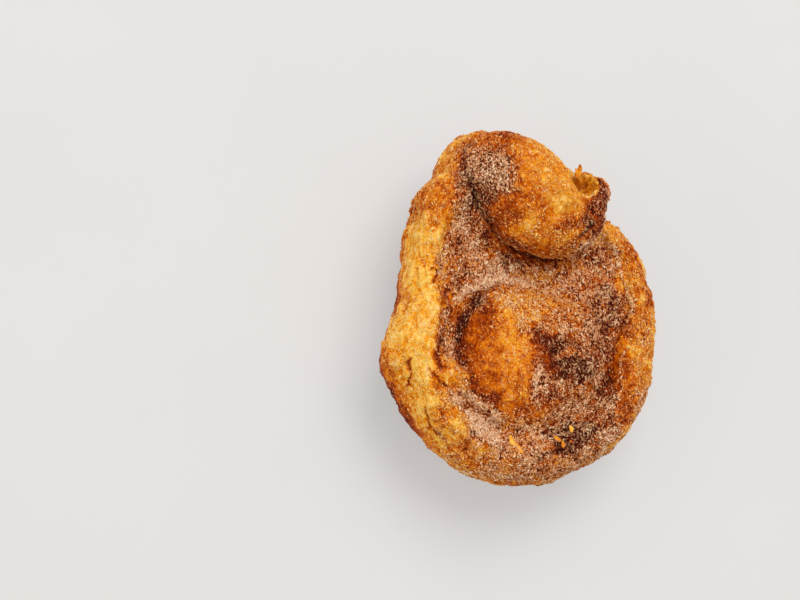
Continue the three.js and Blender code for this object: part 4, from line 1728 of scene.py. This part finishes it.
def baked_crust(tree, at, crust, grains):
    """The crust, darkened as painted shade in the splits, the crease and the gaps between grains, and darker
    along the low parts of the strokes, which are also the hollows of the bumps, partly as painted shade.
    """
    darker = added(tree, at["split_shade"], SPLIT_SHADE_STRENGTH, at["brown"])
    strokes = less(tree, 0.5, at["strokes"])
    darker = added(tree, strokes, ranged(tree, at["sugar"], COATED, STROKES_DARKEN), darker)
    gaps = less(tree, GAP_LEVEL, grains["Height"])
    darker = added(tree, gaps, ranged(tree, at["sugar"], COATED, GAP_PAINTED_SHADE), darker)
    wrap = attribute(tree, "wrap", "Vector")
    return placed_group(tree, crust, Brown=darker, Wrap=wrap, **DOUGH_CRUST)


def with_crumb(tree, at, colour):
    """The colour, or that of torn crumb where it is torn."""
    spongy = added(tree, at["brown"], CRUMB_BROWN, noise_value(tree, at["place"], "sponge"))
    return blended(tree, ranged(tree, at["torn"], CRUMB_SHOWS), colour, ramped(tree, spongy, CRUMB_COLOURS))


def with_flecks_and_highlights(tree, at, colour):
    """The colour with pale flecks, most of them on crests, where it is bare and pale: partly pale sugar
    flecks, and on the crests painted highlights.
    """
    flecks = added(tree, at["crest"], CREST_HIGHLIGHTS, noise_value(tree, at["place"], "flecks"))
    bare = ranged(tree, at["sugar"], FLECKS_GO_WITH_SUGAR, (1.0, 0.0))
    pale = ranged(tree, at["brown"], FLECKS_GO_WITH_BROWN, (FLECKS_SHOW, 0.0))
    shown = product(tree, ranged(tree, flecks, FLECK_EDGE), product(tree, bare, pale))
    return blended(tree, shown, colour, FLECK_AND_HIGHLIGHT_COLOUR)


def stained_share(tree, at):
    """How much the cinnamon stain covers: it comes with sugar, in drifts, and is thinned by the strokes."""
    stain = ranged(tree, at["drifts"], STAIN_COMES, (0.0, STAIN_COVERS))
    return product(tree, stain, ranged(tree, at["strokes"], STAIN_STROKES, (STAIN_THINNEST, 1.0)))


def coat_colour(tree, at):
    """The colour of the stain, paler with more sugar and along the strokes."""
    shade = added(tree, at["sugar"], COAT_SUGAR, product(tree, at["strokes"], COAT_STROKES))
    return ramped(tree, less(tree, shade, COAT_LEVEL), COAT_COLOURS)


def with_grains(tree, at, grains, colour):
    """The colour with the grains on it: each shows as much as its tint says, and more so with sugar."""
    bare, per_sugar = GRAIN_SHOWS
    shown = added(tree, at["sugar"], per_sugar, bare)
    shown = product(tree, shown, ranged(tree, grains["Tint"], GRAIN_TINTS))
    grain = blended(tree, ranged(tree, at["drifts"], GRAIN_PALES), *GRAIN_COLOURS)
    return blended(tree, product(tree, grains["Mask"], shown), colour, grain)


def crack_share(tree, at):
    """How much of the place is in an open crack: near its frayed line, and where its pattern opens it."""
    frayed = added(tree, less(tree, at["strokes"], 0.5), CRACK_FRAY, at["crack_side"])
    crack = ranged(tree, maths(tree, "ABSOLUTE", frayed), CRACK_WIDTH, (1.0, 0.0))
    opening = added(tree, noise_value(tree, at["place"], "open_cracks"), CRACK_PATTERN, at["cracked"])
    return product(tree, crack, ranged(tree, opening, CRACK_OPENS))


def crust_material(crust, dust):
    """Baked dough under its coat: crust colour by brownness, with painted shade in the splits, the crease and
    between grains, torn crumb, pale flecks with painted highlights on crests, a cinnamon stain where sugar
    lies thick, fine see-through grains all over, the paler the more sugar there is, and dark cracks."""
    material, tree, surface = new_material("crust")
    stored = ("brown", "sugar", "torn", "split_shade", "crest", "cracked", "crack_side")
    at = {name: attribute(tree, name) for name in stored}
    at["place"] = object_place(tree)
    at["strokes"] = noise_value(tree, stroke_place(tree, at["place"]), "strokes")
    at["drifts"] = added(tree, noise_value(tree, at["place"], "drifts"), DRIFTING, at["sugar"])
    grains = laid_grains(tree, at, dust)
    baked = baked_crust(tree, at, crust, grains)
    stain = stained_share(tree, at)
    crack = crack_share(tree, at)
    colour = with_flecks_and_highlights(tree, at, with_crumb(tree, at, baked["Color"]))
    colour = blended(tree, stain, colour, coat_colour(tree, at))
    colour = with_grains(tree, at, grains, colour)
    colour = blended(tree, product(tree, crack, CRACK_DARKNESS), colour, CRACK_COLOUR)
    connect(tree, colour, surface.inputs["Base Color"])
    roughness = ranged(tree, baked["Brown"], PALE_TO_BURNT, CRUST_ROUGHNESS)
    roughness = added(tree, stain, STAIN_ROUGHER, roughness, clamp=True)
    connect(tree, roughness, surface.inputs["Roughness"])
    height = added(tree, grains["Height"], GRAIN_HEIGHT, at["strokes"])
    bumped(tree, surface, added(tree, crack, CRACK_SINKS, height), *CRUST_BUMPS)
    surface.inputs["Specular IOR Level"].default_value = 0.03
    return material


def crystal_material(name, crust, stops, see_through, roughness):
    """Sugar crystals: each a shade of its own from the ramp, the paler the more sugar there is. Where little
    lies they take a lighter colour of the crust below them instead, partly as a painted glint."""
    material, tree, surface = new_material(name)
    brown, sugar, tint = (attribute(tree, field) for field in ("brown", "sugar", "tint"))
    place = object_place(tree)
    lighter = less(tree, brown, product(tree, tint, CRYSTAL_LIGHTER))
    below = placed_group(tree, crust, Brown=lighter, Wrap=place, Mottling=CRYSTAL_MOTTLING, Streaks=0.0)
    shade = added(tree, sugar, CRYSTAL_SUGAR, product(tree, tint, CRYSTAL_TINT))
    own = ramped(tree, less(tree, shade, CRYSTAL_LEVEL), stops)
    own_share = ranged(tree, sugar, CRYSTAL_OWN, (0.0, 1.0 - see_through))
    # Partly a painted glint: the crust's colour in a crystal mixed towards a pale colour.
    lit = blended(tree, ranged(tree, tint, CRYSTAL_LIT, (0.0, CRYSTAL_LIGHT)), below["Color"], FLECK_AND_HIGHLIGHT_COLOUR)
    connect(tree, blended(tree, own_share, lit, own), surface.inputs["Base Color"])
    glint = noise_value(tree, place, "glints")
    smooth, matt = CRYSTAL_ROUGHNESS
    connect(tree, ranged(tree, glint, NOISE_MIDDLE, (roughness * smooth, roughness * matt)),
            surface.inputs["Roughness"])
    bumped(tree, surface, glint, *CRYSTAL_BUMPS)
    surface.inputs["Specular IOR Level"].default_value = 0.4
    return material


def flake_material(crust):
    """A flake of crust: a thin, slightly glossy layer with fine pale grains."""
    material, tree, surface = new_material("crust_flakes")
    place = object_place(tree)
    baked = placed_group(tree, crust, Brown=attribute(tree, "brown"), Wrap=place, **FLAKE_CRUST)
    fine = noise_value(tree, place, "flake_grain")
    pale = ranged(tree, fine, FLAKE_GRAINS, (0.0, FLAKE_GRAINS_SHOW))
    connect(tree, blended(tree, pale, baked["Color"], FLECK_AND_HIGHLIGHT_COLOUR), surface.inputs["Base Color"])
    connect(tree, ranged(tree, fine, NOISE_MIDDLE, FLAKE_ROUGHNESS), surface.inputs["Roughness"])
    bumped(tree, surface, fine, *FLAKE_BUMPS)
    surface.inputs["Specular IOR Level"].default_value = 0.1
    return material


def floor_material():
    """The plain pale table: matt, with the faintest unevenness."""
    material, tree, surface = new_material("table")
    shade = noise_value(tree, object_place(tree), "floor")
    connect(tree, ramped(tree, shade, FLOOR_COLOURS), surface.inputs["Base Color"])
    surface.inputs["Emission Color"].default_value = FLOOR_GLOW
    surface.inputs["Emission Strength"].default_value = 0.46
    surface.inputs["Roughness"].default_value = 0.7
    return material


# ------------------------------------------------------------------------------------------------
# Stage
# ------------------------------------------------------------------------------------------------
# The camera: how far it leans to -X and to -Y in degrees; then in metres how far off it is, how wide it sees
# at the bun, where it aims, to the right of and above the foot's centre, and from how near it sees. The
# sensor is in millimetres.
VIEW_TILT = (14.0, 12.0)
VIEW_DISTANCE = 0.8
VIEW_WIDTH = 0.2548
VIEW_AIM = (-0.0306, 0.0159)
VIEW_FROM = 0.01
SENSOR_WIDTH = 36.0

# Softboxes: how far each is to the camera's right, up and back, its distance and size in metres, power and
# colour. Then the pale surroundings, and half the floor's width in metres.
SOFTBOXES = [
    ("key", (0.4, 0.65, 0.8), 1.6, 1.1, 16.5, (1.0, 0.985, 0.96)),
    ("side", (-0.9, -0.1, 0.6), 1.6, 1.0, 6.0, (1.0, 0.985, 0.97)),
]
SURROUNDINGS = (1.0, 0.99, 0.98, 1.0)
SURROUNDINGS_STRENGTH = 0.58
FLOOR_HALF = 3.0


def view_axes():
    """The camera's right, up and backward axes. It looks down on the bun, leaning to -X and -Y."""
    back = np.array([-math.tan(math.radians(VIEW_TILT[0])), -math.tan(math.radians(VIEW_TILT[1])), 1.0])
    back /= np.linalg.norm(back)
    right = np.array([1.0, 0.0, 0.0]) - back[0] * back
    right /= np.linalg.norm(right)
    return right, np.cross(back, right), back


def make_camera():
    """A long lens that looks down on the bun and keeps it right of and below the middle."""
    right, up, back = view_axes()
    place = right * VIEW_AIM[0] + up * VIEW_AIM[1] + back * VIEW_DISTANCE
    data = bpy.data.cameras.new("camera")
    data.sensor_width = SENSOR_WIDTH
    data.lens = SENSOR_WIDTH * VIEW_DISTANCE / VIEW_WIDTH
    data.clip_start = VIEW_FROM
    camera = linked("camera", data)
    turned = np.eye(4)
    turned[:3] = np.stack([right, up, back, place], -1)
    camera.matrix_world = Matrix(turned)
    bpy.context.scene.camera = camera


def softbox(name, towards, distance, size, power, colour):
    """A square area light at a distance in a direction, aimed at the bun."""
    data = bpy.data.lights.new(name, "AREA")
    data.size = size
    data.energy = power
    data.color = colour
    light = linked(name, data)
    towards = towards / np.linalg.norm(towards)
    centre = (np.array(CAD_BOX[0]) + np.array(CAD_BOX[1])) / 2
    light.location = centre + towards * distance
    light.rotation_euler = Vector(towards).to_track_quat("Z", "Y").to_euler()


def make_stage():
    """Floor, softboxes, pale surroundings and camera."""
    corners = [(-FLOOR_HALF, -FLOOR_HALF, 0), (FLOOR_HALF, -FLOOR_HALF, 0),
               (FLOOR_HALF, FLOOR_HALF, 0), (-FLOOR_HALF, FLOOR_HALF, 0)]
    floor = make_object("floor", np.array(corners) / MM, np.array([[0, 1, 2, 3]]))
    floor.data.materials.append(floor_material())
    axes = np.stack(view_axes())
    for name, shares, *rest in SOFTBOXES:
        softbox(name, np.array(shares) @ axes, *rest)
    world = bpy.data.worlds.new("studio")
    world.use_nodes = True
    world.node_tree.nodes["Background"].inputs["Color"].default_value = SURROUNDINGS
    world.node_tree.nodes["Background"].inputs["Strength"].default_value = SURROUNDINGS_STRENGTH
    bpy.context.scene.world = world
    bpy.context.scene.view_settings.view_transform = "Standard"
    make_camera()


# ------------------------------------------------------------------------------------------------
# Making it all
# ------------------------------------------------------------------------------------------------
# Kinds of loose sugar: name, how many, shape, sizes in millimetres, of which a crystal's sides are shares, so
# that it is longer than its size, how much of the crust shows through where they lie thick, roughness and
# colours.
SUGAR_KINDS = [
    ("sugar_glints", 9000, CRYSTAL, (0.30, 0.66), 0.2, 0.2,
     [(0.0, srgb(196, 120, 70)), (0.5, srgb(240, 184, 130)), (1.0, srgb(255, 230, 198))]),
    ("sugar_loose", 16000, CRYSTAL, (0.20, 0.46), 0.3, 0.3,
     [(0.0, srgb(172, 92, 44)), (0.5, srgb(226, 160, 100)), (1.0, srgb(252, 216, 176))]),
    ("sugar_fine", 9000, SPECK, (0.20, 0.36), 0.3, 0.5,
     [(0.0, srgb(126, 54, 20)), (0.5, srgb(188, 114, 62)), (1.0, srgb(236, 182, 134))]),
]


def dress(piece, material):
    """Gives a piece its material and ties it to the part."""
    piece.data.materials.clear()
    piece.data.materials.append(material)
    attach(piece, BODY)


def make_bun():
    """The dough with its crust, the flakes on it, and the loose sugar."""
    crust = browned_crust_group()
    dust = sugar_dust_group()
    dough, at = make_dough()
    dress(dough, crust_material(crust, dust))
    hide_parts(NODE)
    dress(make_flakes(dough), flake_material(crust))
    chances = sugar_chances(dough, at)
    for number, (name, count, shape, sizes, see_through, roughness, stops) in enumerate(SUGAR_KINDS):
        piece = scatter(name, dough, chances[name], count, shape, sizes, SEED + number)
        dress(piece, crystal_material(name, crust, stops, see_through, roughness))


make_stage()
make_bun()
